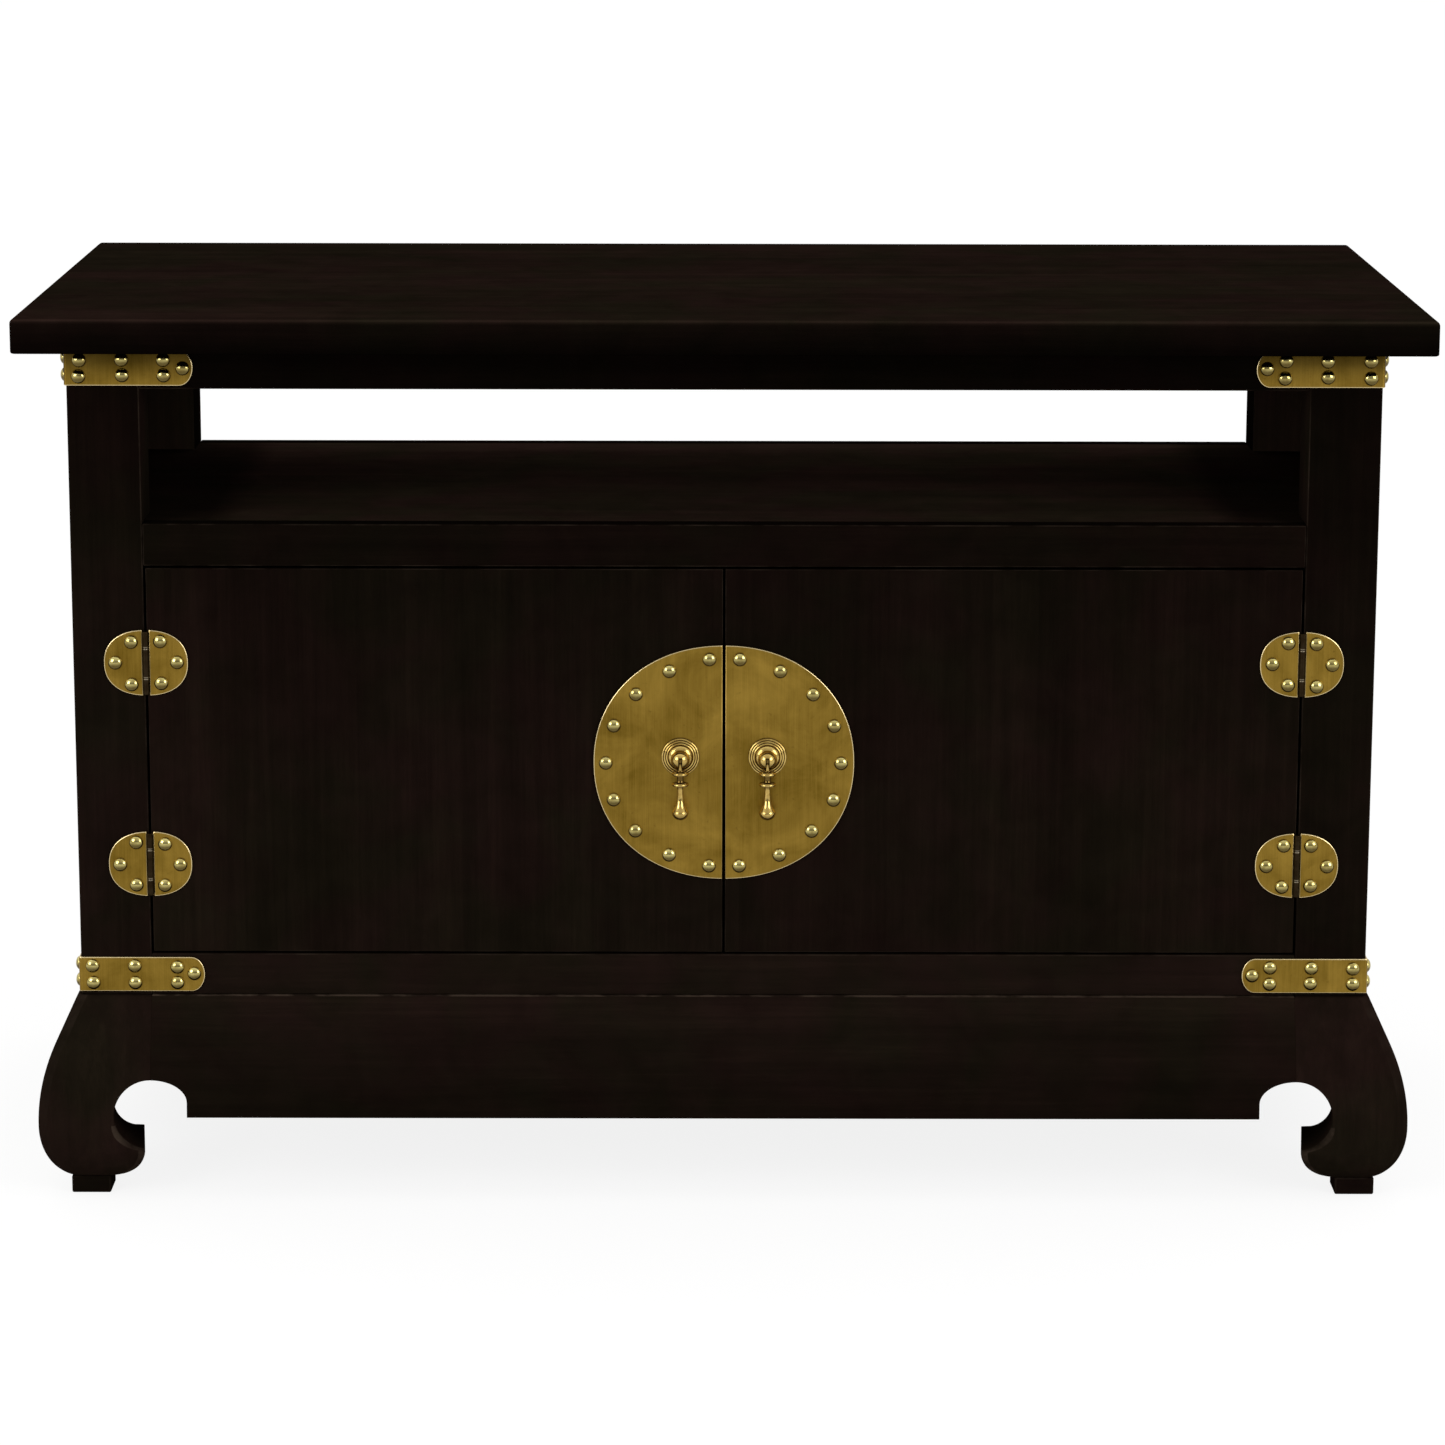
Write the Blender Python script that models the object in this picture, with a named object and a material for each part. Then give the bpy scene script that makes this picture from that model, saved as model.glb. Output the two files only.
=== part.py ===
"""Low television cabinet with an open shelf, two doors, brass fittings and bulging scroll legs.

Metres, +Z up, front towards -Y. The origin is on the floor, under the middle of the cabinet.
"""
import math

import bmesh
import bpy
from mathutils import Matrix, Vector

# Overall sizes
WIDTH = 1.100
DEPTH = 0.550
HEIGHT = 0.712
TOP_T = 0.027
TOP_ROUND = 0.004
TOP_EASE = 0.0015
OVERHANG_SIDE = 0.036
OVERHANG_FRONT = 0.052

# Upper frame
BODY_W = WIDTH - 2 * OVERHANG_SIDE
BODY_D = DEPTH - 2 * OVERHANG_FRONT
POST = 0.0565
RAIL_H = 0.0335
RAIL_T = 0.025
SHELF_Z = 0.5445
SHELF_T = 0.018
PANEL_T = 0.008
DOOR_T = 0.0245
DOOR_GAP = 0.002
DOOR_EASE = 0.001
STOP_T = 0.014
STOP_DROP = 0.012

# Stand: bulging legs and aprons
STAND_H = 0.1625
PAD_H = 0.0145
PAD_EASE = 0.0012
BULGE = 0.034
LEDGE = 0.0035
FLARE = math.radians(24.7)
BELLY_H = 0.0475
FOOT_A = 0.036
SOLE_SINK = 0.0034
SCROLL_R = 0.0292
TOE_H = 0.0264
TOE_IN = 0.005
TOE_A = 0.031
SLANT = 0.11
ARRIS = 0.008
APRON_T = 0.026
HOLLOW_H = 0.0175
HOLLOW_DROP = 0.0125
ARC_STEP = 15

# Joinery
FIT = 0.0003
TENON_T = 0.010
TENON_L = 0.025
SHOULDER = 0.008
PANEL_SET = 0.010
TONGUE = 0.006
RABBET = 0.008
STUB = 0.024
STUB_L = 0.014
APRON_TENON_T = 0.008
APRON_TENON_L = 0.020
APRON_TENON_H = 0.028
APRON_TENON_DROP = 0.0135
APRON_WALL = 0.004

# Brass fittings
PLATE_T = 0.0015
STUD_R = 0.0052
STUD_H = 0.0034
BRACKET_L = 0.101
BRACKET_H = 0.0285
BRACKET_END = 0.011
NAIL_EDGE = 0.010
NAIL_END = 0.0245
NAIL_ROW = 0.0064
HINGE_A = 0.0333
HINGE_B = 0.0265
HINGE_FULL = 2.3
BARREL_R = 0.0022
BARREL_L = 0.0505
KNUCKLE = 0.0238
KNUCKLE_GAP = 0.0004
PIN_R = 0.0011
HINGE_SPREAD = math.radians(62.0)
HINGE_NAIL_OUT = 0.024
HINGE_NAIL_UP = 0.0192
HINGE_TOP = 0.0775
HINGE_FOOT = 0.0740
FACE_A = 0.1035
FACE_B = 0.0948
FACE_FULL = 2.12
FACE_T = 0.002
FACE_GAP = 0.0016
FACE_NAILS = 9
FACE_SPREAD = math.radians(82.6)
STUD_INSET = 0.0102
PULL_X = 0.0345
PULL_RISE = 0.005
PULL_OUT = 0.0115
BALL_R = 0.0076
DISC_R = 0.0152
RINGS = 3
RING_W = 0.0011
RING_H = 0.0010
NECK_R = 0.0066
NECK_OUT = 0.0072
SPIGOT_R = 0.003
SPIGOT_L = 0.012
EYE_R = 0.004
EYE_T = 0.0024
EYE_GAP = 0.0004
PULL_PIN_R = 0.0012
DROP_GAP = 0.0008
COLLAR_R = 0.0069
COLLAR_T = 0.0022
COLLAR_BEVEL = 0.0009
WAIST_R = 0.0030
WAIST_L = 0.0046
STEM_R = 0.0022
STEM_L = 0.0205
STEM_SWELL = 2.6
BULB_R = 0.0062
BULB_L = 0.0066

# Levels and planes that follow from the sizes
LEFT = -BODY_W / 2
FRONT = -BODY_D / 2
BACK = BODY_D / 2
INNER = LEFT + POST
UNDER_TOP = HEIGHT - TOP_T
POST_Z0 = STAND_H + FIT
POST_Z1 = UNDER_TOP - FIT
TOP_RAIL = (POST_Z1 - RAIL_H, POST_Z1)
SHELF_RAIL = (SHELF_Z - RAIL_H, SHELF_Z)
BASE_RAIL = (POST_Z0, POST_Z0 + RAIL_H)
SKIN = FRONT - FIT
BELLY_Z = PAD_H + BELLY_H
SCROLL_Z = PAD_H + TOE_H + SCROLL_R
SCROLL_TOP = SCROLL_Z + SCROLL_R
HOLLOW_Z = SCROLL_TOP - HOLLOW_H
APRON_Z = HOLLOW_Z - HOLLOW_DROP
HINGE_Z = (BASE_RAIL[1] + HINGE_FOOT, SHELF_RAIL[0] - HINGE_TOP)
FACE_Z = (BASE_RAIL[1] + SHELF_RAIL[0]) / 2
PULL_Z = FACE_Z + PULL_RISE
AXIS_X = INNER + DOOR_GAP / 2
AXIS_Y = SKIN - BARREL_R
BALL_Y = SKIN - FACE_T - PULL_OUT
DROP_TOP = BALL_R + DROP_GAP
DROP_COLLARS = 2 * (COLLAR_T + 2 * COLLAR_BEVEL) + WAIST_L
DROP_L = DROP_TOP + COLLAR_BEVEL + DROP_COLLARS + STEM_L + BULB_L
FACETS = 16
PIN_FACETS = 12
STUD_FACETS = 8

WOOD = ((0.0105, 0.0062, 0.0042), 0.32, 0.0)
INNER_WOOD = ((0.0150, 0.0090, 0.0058), 0.45, 0.0)
PLATE = ((0.30, 0.19, 0.045), 0.38, 1.0)
POLISHED = ((0.62, 0.42, 0.16), 0.20, 1.0)
DARK_METAL = ((0.055, 0.045, 0.028), 0.40, 1.0)


def make(name, points, faces, look):
    """One named object from points and faces, facing out, with its own material."""
    mesh = bpy.data.meshes.new(name)
    mesh.from_pydata([tuple(p) for p in points], [], faces)
    form = bmesh.new()
    form.from_mesh(mesh)
    bmesh.ops.recalc_face_normals(form, faces=form.faces)
    form.to_mesh(mesh)
    form.free()
    piece = bpy.data.objects.new(name, mesh)
    bpy.context.scene.collection.objects.link(piece)
    finish(piece, look)
    return piece


def finish(piece, look):
    """A plain surface for the piece: colour, roughness and metallic value."""
    if look is None:
        return
    colour, rough, metal = look
    surface = bpy.data.materials.new(piece.name + "_finish")
    surface.use_nodes = True
    shader = surface.node_tree.nodes["Principled BSDF"]
    shader.inputs["Base Color"].default_value = (*colour, 1.0)
    shader.inputs["Roughness"].default_value = rough
    shader.inputs["Metallic"].default_value = metal
    piece.data.materials.clear()
    piece.data.materials.append(surface)


def loft(name, rings, look):
    """A solid through rings of equal count, capped at both ends."""
    count = len(rings[0])
    points = [p for ring in rings for p in ring]
    faces = [tuple(range(count)), tuple(range(len(points) - count, len(points)))]
    for level in range(len(rings) - 1):
        for i in range(count):
            j = (i + 1) % count
            low, high = level * count, (level + 1) * count
            faces.append((low + i, low + j, high + j, high + i))
    return make(name, points, faces, look)


def box(name, low, high, look=None):
    """A block between two corners."""
    (x0, y0, z0), (x1, y1, z1) = low, high
    outline = ((x0, y0), (x1, y0), (x1, y1), (x0, y1))
    return loft(name, [[(x, y, z) for x, y in outline] for z in (z0, z1)], look)


def along_x(name, section, x0, x1, look=None):
    """A bar along X from a section of (y, z) points."""
    return loft(name, [[(x, y, z) for y, z in section] for x in (x0, x1)], look)


def along_y(name, section, y0, y1, look=None):
    """A bar along Y from a section of (x, z) points."""
    return loft(name, [[(x, y, z) for x, z in section] for y in (y0, y1)], look)


def turned(name, profile, place, look=None, facets=FACETS):
    """A turned solid from (radius, height) pairs about a local Z; its first and last radii are 0."""
    points = [Vector((0.0, 0.0, profile[0][1]))]
    for radius, height in profile[1:-1]:
        for k in range(facets):
            turn = 2.0 * math.pi * k / facets
            points.append(Vector((radius * math.cos(turn), radius * math.sin(turn), height)))
    points.append(Vector((0.0, 0.0, profile[-1][1])))
    last = len(points) - 1
    faces = []
    for k in range(facets):
        j = (k + 1) % facets
        faces.append((0, 1 + k, 1 + j))
        faces.append((last, last - facets + k, last - facets + j))
        for level in range(len(profile) - 3):
            low, high = 1 + level * facets, 1 + (level + 1) * facets
            faces.append((low + k, low + j, high + j, high + k))
    piece = make(name, [place @ p for p in points], faces, look)
    smooth(piece)
    return piece


def rod(name, radius, length, place, look=None, facets=FACETS):
    """A round bar centred on its place, along its local Z."""
    half = length / 2
    profile = ((0.0, -half), (radius, -half), (radius, half), (0.0, half))
    return turned(name, profile, place, look, facets)


def smooth(piece):
    """Round faces shade as curves and keep their edges."""
    piece.data.shade_smooth()
    piece.data.set_sharp_from_angle(angle=math.radians(35.0))


def merged(pieces):
    """Several separate tool solids as the one tool of a single cut or join."""
    form = bmesh.new()
    for piece in pieces:
        form.from_mesh(piece.data)
    mesh = bpy.data.meshes.new("tool")
    form.to_mesh(mesh)
    form.free()
    for piece in pieces:
        bpy.data.objects.remove(piece)
    tool = bpy.data.objects.new("tool", mesh)
    bpy.context.scene.collection.objects.link(tool)
    return tool


def combine(piece, tools, operation):
    """Cuts tools out of a piece, or joins them to it, and keeps the result as its mesh."""
    tool = merged(tools)
    change = piece.modifiers.new("combine", "BOOLEAN")
    change.operation = operation
    change.solver = "EXACT"
    change.object = tool
    graph = bpy.context.evaluated_depsgraph_get()
    mesh = bpy.data.meshes.new_from_object(piece.evaluated_get(graph))
    surface = piece.data.materials[0] if piece.data.materials else None
    piece.modifiers.clear()
    piece.data = mesh
    mesh.materials.clear()
    if surface:
        mesh.materials.append(surface)
    bpy.data.objects.remove(tool)
    return piece


def mirrored(piece, name, axis, look):
    """The opposite hand of a piece, across the middle plane of the cabinet."""
    mesh = piece.data.copy()
    flip = Matrix.Scale(-1.0, 4, Vector((1.0, 0.0, 0.0)) if axis == "X" else Vector((0.0, 1.0, 0.0)))
    mesh.transform(flip)
    mesh.flip_normals()
    other = bpy.data.objects.new(name, mesh)
    bpy.context.scene.collection.objects.link(other)
    finish(other, look)
    return other


def hold(pieces, place, name, parent=None):
    """An empty on a joint's axis that carries the pieces of one moving body."""
    axis = bpy.data.objects.new(name, None)
    axis.location = place
    bpy.context.scene.collection.objects.link(axis)
    if parent:
        axis.parent = parent
        axis.location = Vector(place) - parent.location
    turn_back = Matrix.Translation(-Vector(place))
    for piece in pieces:
        piece.parent = axis
        piece.matrix_parent_inverse = turn_back
    return axis


# Rails: one section for all, rebated for a shelf and grooved for panels
def rail_section(levels, rebated, groove_above, groove_below):
    """Points (depth in from the outer face, height) round a rail's section."""
    low, high = levels
    side = (PANEL_SET - PANEL_T / 2 - FIT, PANEL_SET + PANEL_T / 2 + FIT)
    depth = TONGUE + FIT
    points = [(0.0, low)]
    if groove_below:
        points += [(side[0], low), (side[0], low + depth), (side[1], low + depth), (side[1], low)]
    points.append((RAIL_T, low))
    if rebated:
        ledge = high - SHELF_T
        points += [(RAIL_T, ledge), (RAIL_T - RABBET, ledge), (RAIL_T - RABBET, high)]
    else:
        points.append((RAIL_T, high))
    if groove_above:
        points += [(side[1], high), (side[1], high - depth), (side[0], high - depth), (side[0], high)]
    points.append((0.0, high))
    return points


def tenon_band(clear):
    """Depth range of a rail's tenon, with clearance for its mortise."""
    return PANEL_SET - TENON_T / 2 - clear, PANEL_SET + TENON_T / 2 + clear


def front_rail(name, levels, rebated=False, above=False, below=False, rear=False):
    """A rail across the cabinet, flush with the posts, with a tenon at each end."""
    turn = -1.0 if rear else 1.0
    section = [(turn * (FRONT + t), z) for t, z in rail_section(levels, rebated, above, below)]
    rail = along_x(name, section, INNER + FIT, -INNER - FIT, WOOD)
    near, far = (turn * (FRONT + t) for t in tenon_band(0.0))
    reach = TENON_L - FIT
    low = (INNER - reach, min(near, far), levels[0] + SHOULDER)
    high = (-INNER + reach, max(near, far), levels[1] - SHOULDER)
    return combine(rail, [box("tenon", low, high)], "UNION")


def side_rail(name, levels, rebated=False, above=False, below=False):
    """A rail from the front post to the back post on the left side."""
    section = [(LEFT + t, z) for t, z in rail_section(levels, rebated, above, below)]
    end = FRONT + POST
    rail = along_y(name, section, end + FIT, -end - FIT, WOOD)
    near, far = (LEFT + t for t in tenon_band(0.0))
    reach = TENON_L - FIT
    low = (near, end - reach, levels[0] + SHOULDER)
    high = (far, -end + reach, levels[1] - SHOULDER)
    return combine(rail, [box("tenon", low, high)], "UNION")


# Posts: mortised for the rails, grooved for the panels, stub tenons at both ends
def post(name, rear):
    """A left post; the rear one also takes the back panel."""
    turn = -1.0 if rear else 1.0
    inner_y = FRONT + POST
    corners = [(LEFT, FRONT), (INNER, FRONT), (INNER, inner_y), (LEFT, inner_y)]
    middle = Vector((LEFT + POST / 2, FRONT + POST / 2))
    stub = [tuple(middle + (Vector(c) - middle) * (STUB / POST)) for c in corners]
    levels = (
        (stub, POST_Z0 - STUB_L),
        (stub, POST_Z0),
        (corners, POST_Z0),
        (corners, POST_Z1),
        (stub, POST_Z1),
        (stub, POST_Z1 + STUB_L),
    )
    piece = loft(name, [[(x, y, z) for x, y in ring] for ring, z in levels], WOOD)
    near, far = tenon_band(FIT)
    deep = TENON_L
    over = FIT
    cuts = []
    for low, high in (TOP_RAIL, SHELF_RAIL, BASE_RAIL):
        z0, z1 = low + SHOULDER - FIT, high - SHOULDER + FIT
        cuts.append(box("cut", (INNER - deep, FRONT + near, z0), (INNER + over, FRONT + far, z1)))
        if (low, high) != SHELF_RAIL:
            cuts.append(box("cut", (LEFT + near, inner_y - deep, z0), (LEFT + far, inner_y + over, z1)))
    thin, thick = PANEL_SET - PANEL_T / 2 - FIT, PANEL_SET + PANEL_T / 2 + FIT
    sunk = TONGUE + FIT
    z0, z1 = BASE_RAIL[1] - sunk, TOP_RAIL[0] + sunk
    cuts.append(box("cut", (LEFT + thin, inner_y - sunk, z0), (LEFT + thick, inner_y + over, z1)))
    if rear:
        z1 = SHELF_RAIL[0] + sunk
        cuts.append(box("cut", (INNER - sunk, FRONT + thin, z0), (INNER + over, FRONT + thick, z1)))
    combine(piece, cuts, "DIFFERENCE")
    if rear:
        piece.data.transform(Matrix.Scale(turn, 4, Vector((0.0, 1.0, 0.0))))
        piece.data.flip_normals()
    return piece


# Stand: leg and apron share one bulging outer curve
FLARE_DROP = (STAND_H - BELLY_Z) * math.tan(FLARE) - (BULGE - LEDGE)
FLARE_R = FLARE_DROP / (math.sin(FLARE) * math.tan(FLARE) - 1.0 + math.cos(FLARE))
FLARE_Z = BELLY_Z + FLARE_R * math.sin(FLARE)
TOE_Z = SCROLL_Z - math.sqrt(SCROLL_R ** 2 - TOE_IN ** 2)


def bulge_at(z):
    """How far the stand's outer face stands out of the post's face at a height."""
    if z >= FLARE_Z:
        return LEDGE + (STAND_H - z) * math.tan(FLARE)
    if z >= BELLY_Z:
        return BULGE - FLARE_R + math.sqrt(FLARE_R ** 2 - (z - BELLY_Z) ** 2)
    fall = (BELLY_Z - z) / (BELLY_H + SOLE_SINK)
    return BULGE - FOOT_A + FOOT_A * math.sqrt(1.0 - fall ** 2)


def scroll_at(z):
    """The leg's inner face at a height: straight, then the round scroll, then the toe's sole."""
    if z >= SCROLL_TOP:
        return -POST
    if z >= TOE_Z:
        return -POST + math.sqrt(SCROLL_R ** 2 - (z - SCROLL_Z) ** 2)
    fall = min(1.0, (TOE_Z - z) / (TOE_Z - PAD_H))
    return -POST + TOE_IN + TOE_A * (1.0 - math.sqrt(1.0 - fall ** 2))


def slant_at(z):
    """How far the leg's inner corner is drawn back below the top of the scroll, as a share of its depth."""
    below = min(1.0, max(0.0, (SCROLL_TOP - z) / SCROLL_R))
    return SLANT * below * below * (3.0 - 2.0 * below)


def stand_levels():
    """Heights where the leg's curves need a section, close ones taken once."""
    arc = [SCROLL_Z + SCROLL_R * math.sin(math.radians(a)) for a in range(90, -76, -ARC_STEP)]
    toe = [TOE_Z - (TOE_Z - PAD_H) * math.sin(math.radians(a)) for a in range(0, 91, 18)]
    flare = [BELLY_Z + FLARE_R * math.sin(FLARE * k / 4) for k in range(5)]
    levels = []
    for z in sorted(arc + toe + flare + [STAND_H]):
        if not levels or z - levels[-1] > 3 * FIT:
            levels.append(z)
    return levels


def apron_tenon(clear):
    """Range of depth out of the post's face and of height of an apron's tenon."""
    high = STAND_H - APRON_TENON_DROP
    low = high - APRON_TENON_H
    out = bulge_at(high) - APRON_WALL
    return out - APRON_TENON_T - clear, out + clear, low - clear, high + clear


def leg(name):
    """The front left leg: the same profile seen from the front and from the side."""
    rings = []
    for z in stand_levels():
        inner, outer = scroll_at(z), bulge_at(z)
        back = inner + slant_at(z) * (outer - inner)
        ring = [(back, back), (outer, inner)]
        for k in range(5):
            turn = math.pi / 2 * k / 4
            centre = outer - ARRIS
            ring.append((centre + ARRIS * math.cos(turn), centre + ARRIS * math.sin(turn)))
        ring.append((inner, outer))
        rings.append([(LEFT - u, FRONT - v, z) for u, v in ring])
    piece = loft(name, rings, WOOD)
    near, far, low, high = apron_tenon(FIT)
    inner_y = FRONT + POST
    deep = APRON_TENON_L
    half = STUB / 2 + FIT
    mid_x, mid_y = LEFT + POST / 2, FRONT + POST / 2
    socket = POST_Z0 - STUB_L - FIT
    cuts = [
        box("cut", (INNER - deep, FRONT - far, low), (INNER + FIT, FRONT - near, high)),
        box("cut", (LEFT - far, inner_y - deep, low), (LEFT - near, inner_y + FIT, high)),
        box("cut", (mid_x - half, mid_y - half, socket), (mid_x + half, mid_y + half, STAND_H + FIT)),
    ]
    combine(piece, cuts, "DIFFERENCE")
    smooth(piece)
    return piece


def pad(name):
    """The square block under a front left leg, eased at the floor."""
    inner, outer = scroll_at(PAD_H) - FIT, bulge_at(PAD_H) - FIT
    rings = []
    for ease, z in ((PAD_EASE, 0.0), (0.0, PAD_EASE), (0.0, PAD_H - FIT)):
        low, high = inner + ease, outer - ease
        square = ((low, low), (high, low), (high, high), (low, high))
        rings.append([(LEFT - u, FRONT - v, z) for u, v in square])
    return loft(name, rings, WOOD)


def apron_section():
    """Points (depth out of the post's face, height) round the bent board of an apron."""
    steps = 9
    levels = [APRON_Z + (STAND_H - APRON_Z) * k / steps for k in range(steps + 1)]
    outer = [(bulge_at(z), z) for z in levels]
    return outer + [(u - APRON_T, z) for u, z in reversed(outer)]


def hollow(end, start, across):
    """A tool for an apron's end: round over the leg's scroll, then straight down past the lower edge."""
    arch = []
    for a in range(0, 181, ARC_STEP):
        turn = math.radians(a)
        arch.append((end + SCROLL_R * math.cos(turn), HOLLOW_Z + HOLLOW_H * math.sin(turn)))
    arch += [(end - SCROLL_R, SCROLL_Z - SCROLL_R), (end + SCROLL_R, SCROLL_Z - SCROLL_R)]
    reach = 2 * (BULGE + APRON_T)
    bar = along_y if across else along_x
    return bar("cut", arch, start - reach, start + reach)


def apron(name, half_run, start, across):
    """An apron between two legs, hollowed at both ends beside the legs' scrolls."""
    section = [(start - u, z) for u, z in apron_section()]
    bar = along_x if across else along_y
    piece = bar(name, section, -half_run + FIT, half_run - FIT, WOOD)
    near, far, low, high = apron_tenon(0.0)
    reach = half_run + APRON_TENON_L - FIT
    face = ((start - far, low), (start - near, low), (start - near, high), (start - far, high))
    combine(piece, [bar("tenon", face, -reach, reach)], "UNION")
    combine(piece, [hollow(end, start, across) for end in (-half_run, half_run)], "DIFFERENCE")
    smooth(piece)
    return piece


# Boards
def top_panel():
    """The top slab, rounded over along its upper edge and eased below."""
    rings = []
    steps = 3
    profile = [(TOP_EASE, UNDER_TOP), (0.0, UNDER_TOP + TOP_EASE)]
    for k in range(steps + 1):
        turn = math.pi / 2 * k / steps
        inset, drop = 1.0 - math.cos(turn), 1.0 - math.sin(turn)
        profile.append((TOP_ROUND * inset, HEIGHT - TOP_ROUND * drop))
    for inset, z in profile:
        x, y = WIDTH / 2 - inset, DEPTH / 2 - inset
        rings.append([(-x, -y, z), (x, -y, z), (x, y, z), (-x, y, z)])
    piece = loft("top_panel", rings, WOOD)
    half = STUB / 2 + FIT
    cuts = []
    for x in (LEFT + POST / 2, -LEFT - POST / 2):
        for y in (FRONT + POST / 2, BACK - POST / 2):
            low = (x - half, y - half, UNDER_TOP - FIT)
            high = (x + half, y + half, POST_Z1 + STUB_L + FIT)
            cuts.append(box("cut", low, high))
    return combine(piece, cuts, "DIFFERENCE")


def shelf(name, level, on_sides):
    """A board that lies in the rails' rebates, notched round the four posts."""
    rim = RAIL_T - RABBET + FIT
    side = rim if on_sides else PANEL_SET + PANEL_T / 2 + FIT
    x1, y1 = -LEFT - side, BACK - rim
    x0, y0 = -INNER - FIT, BACK - POST - FIT
    corner = ((x1, y0), (x0, y0), (x0, y1))
    outline = [(x, y) for x, y in corner]
    outline += [(-x, y) for x, y in reversed(corner)]
    outline += [(-x, -y) for x, y in corner]
    outline += [(x, -y) for x, y in reversed(corner)]
    levels = (level - SHELF_T + FIT, level)
    return loft(name, [[(x, y, z) for x, y in outline] for z in levels], INNER_WOOD)


def door(name):
    """The left door: a flat board, its edges eased, drilled for the pull's spigot."""
    x0, x1 = INNER + DOOR_GAP, -DOOR_GAP / 2
    z0, z1 = BASE_RAIL[1] + DOOR_GAP, SHELF_RAIL[0] - DOOR_GAP
    rings = []
    for inset, y in ((DOOR_EASE, FRONT), (0.0, FRONT + DOOR_EASE), (0.0, FRONT + DOOR_T)):
        a, b, low, high = x0 + inset, x1 - inset, z0 + inset, z1 - inset
        rings.append([(a, y, low), (b, y, low), (b, y, high), (a, y, high)])
    piece = loft(name, rings, WOOD)
    return combine(piece, [spigot_bore()], "DIFFERENCE")


def spigot_bore():
    """The round hole for a pull's spigot, through the face plate and into the door."""
    place = Matrix.Translation((-PULL_X, SKIN, PULL_Z)) @ Matrix.Rotation(math.pi / 2, 4, "X")
    return rod("cut", SPIGOT_R + FIT, 2 * (SPIGOT_L + FIT), place)


# Brass
def oval(a, b, full, cut, count):
    """Half an oval cut off straight beside its middle, from the cut's foot round to its top."""
    start = math.atan2((1.0 - (cut / a) ** full) ** (1.0 / full), cut / a)
    points = []
    for k in range(count + 1):
        turn = -start + 2 * start * k / count
        c, s = math.cos(turn), math.sin(turn)
        reach = (abs(c) ** full + abs(s) ** full) ** (-1.0 / full)
        points.append((a * reach * c, b * reach * s))
    return points


def studs(places, facing):
    """Domed nail heads on a plate, each at a point of its face and sunk a little into it."""
    sunk = PLATE_T / 3
    cap = (STUD_R ** 2 + STUD_H ** 2) / (2 * STUD_H)
    angle = math.asin(STUD_R / cap)
    profile = [(0.0, -sunk), (STUD_R, -sunk)]
    for turn in (angle, angle / 2):
        profile.append((cap * math.sin(turn), STUD_H - cap + cap * math.cos(turn)))
    profile.append((0.0, STUD_H))
    turn = Vector((0.0, 0.0, 1.0)).rotation_difference(Vector(facing)).to_matrix().to_4x4()
    return [turned("stud", profile, Matrix.Translation(p) @ turn, None, STUD_FACETS) for p in places]


def bracket(name, middle):
    """The left corner bracket: a strap bent round the post, round ended, nailed on both sides."""
    half = BRACKET_H / 2
    straight = BRACKET_L - BRACKET_END
    end = []
    for k in range(9):
        turn = -math.pi / 2 + math.pi * k / 8
        end.append((straight + BRACKET_END * math.cos(turn), half * math.sin(turn)))
    points, faces = [], []
    for out in (FIT + PLATE_T, FIT):
        x, y = LEFT - out, FRONT - out
        points += [(x, y, middle - half), (x, y, middle + half)]
        points += [(LEFT + s, y, middle + h) for s, h in end]
        points += [(x, FRONT + s, middle + h) for s, h in end]
    size = 2 + 2 * len(end)
    lead = list(range(2, 2 + len(end)))
    turned_side = list(range(2 + len(end), size))
    for base in (0, size):
        faces.append([base, *[base + i for i in lead], base + 1])
        faces.append([base, *[base + i for i in turned_side], base + 1])
    rim = [0, *lead, 1, *reversed(turned_side)]
    for a, b in zip(rim, rim[1:] + rim[:1]):
        faces.append((a, b, size + b, size + a))
    piece = make(name, points, faces, PLATE)
    first, last = NAIL_EDGE, BRACKET_L - NAIL_END
    along = [(s, row) for s in (first, (first + last) / 2, last) for row in (-NAIL_ROW, NAIL_ROW)]
    along.append((BRACKET_L - STUD_INSET, 0.0))
    flat_x, flat_y = LEFT - FIT - PLATE_T, SKIN - PLATE_T
    front = studs([(LEFT + s, flat_y, middle + h) for s, h in along], (0.0, -1.0, 0.0))
    side = studs([(flat_x, FRONT + s, middle + h) for s, h in along], (-1.0, 0.0, 0.0))
    return combine(piece, front + side, "UNION")


def knuckle(low, high):
    """A length of a hinge's barrel between two heights."""
    middle, length = (low + high) / 2, high - low
    place = Matrix.Translation((AXIS_X, AXIS_Y, middle))
    return rod("knuckle", BARREL_R, length, place, None, PIN_FACETS)


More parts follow.
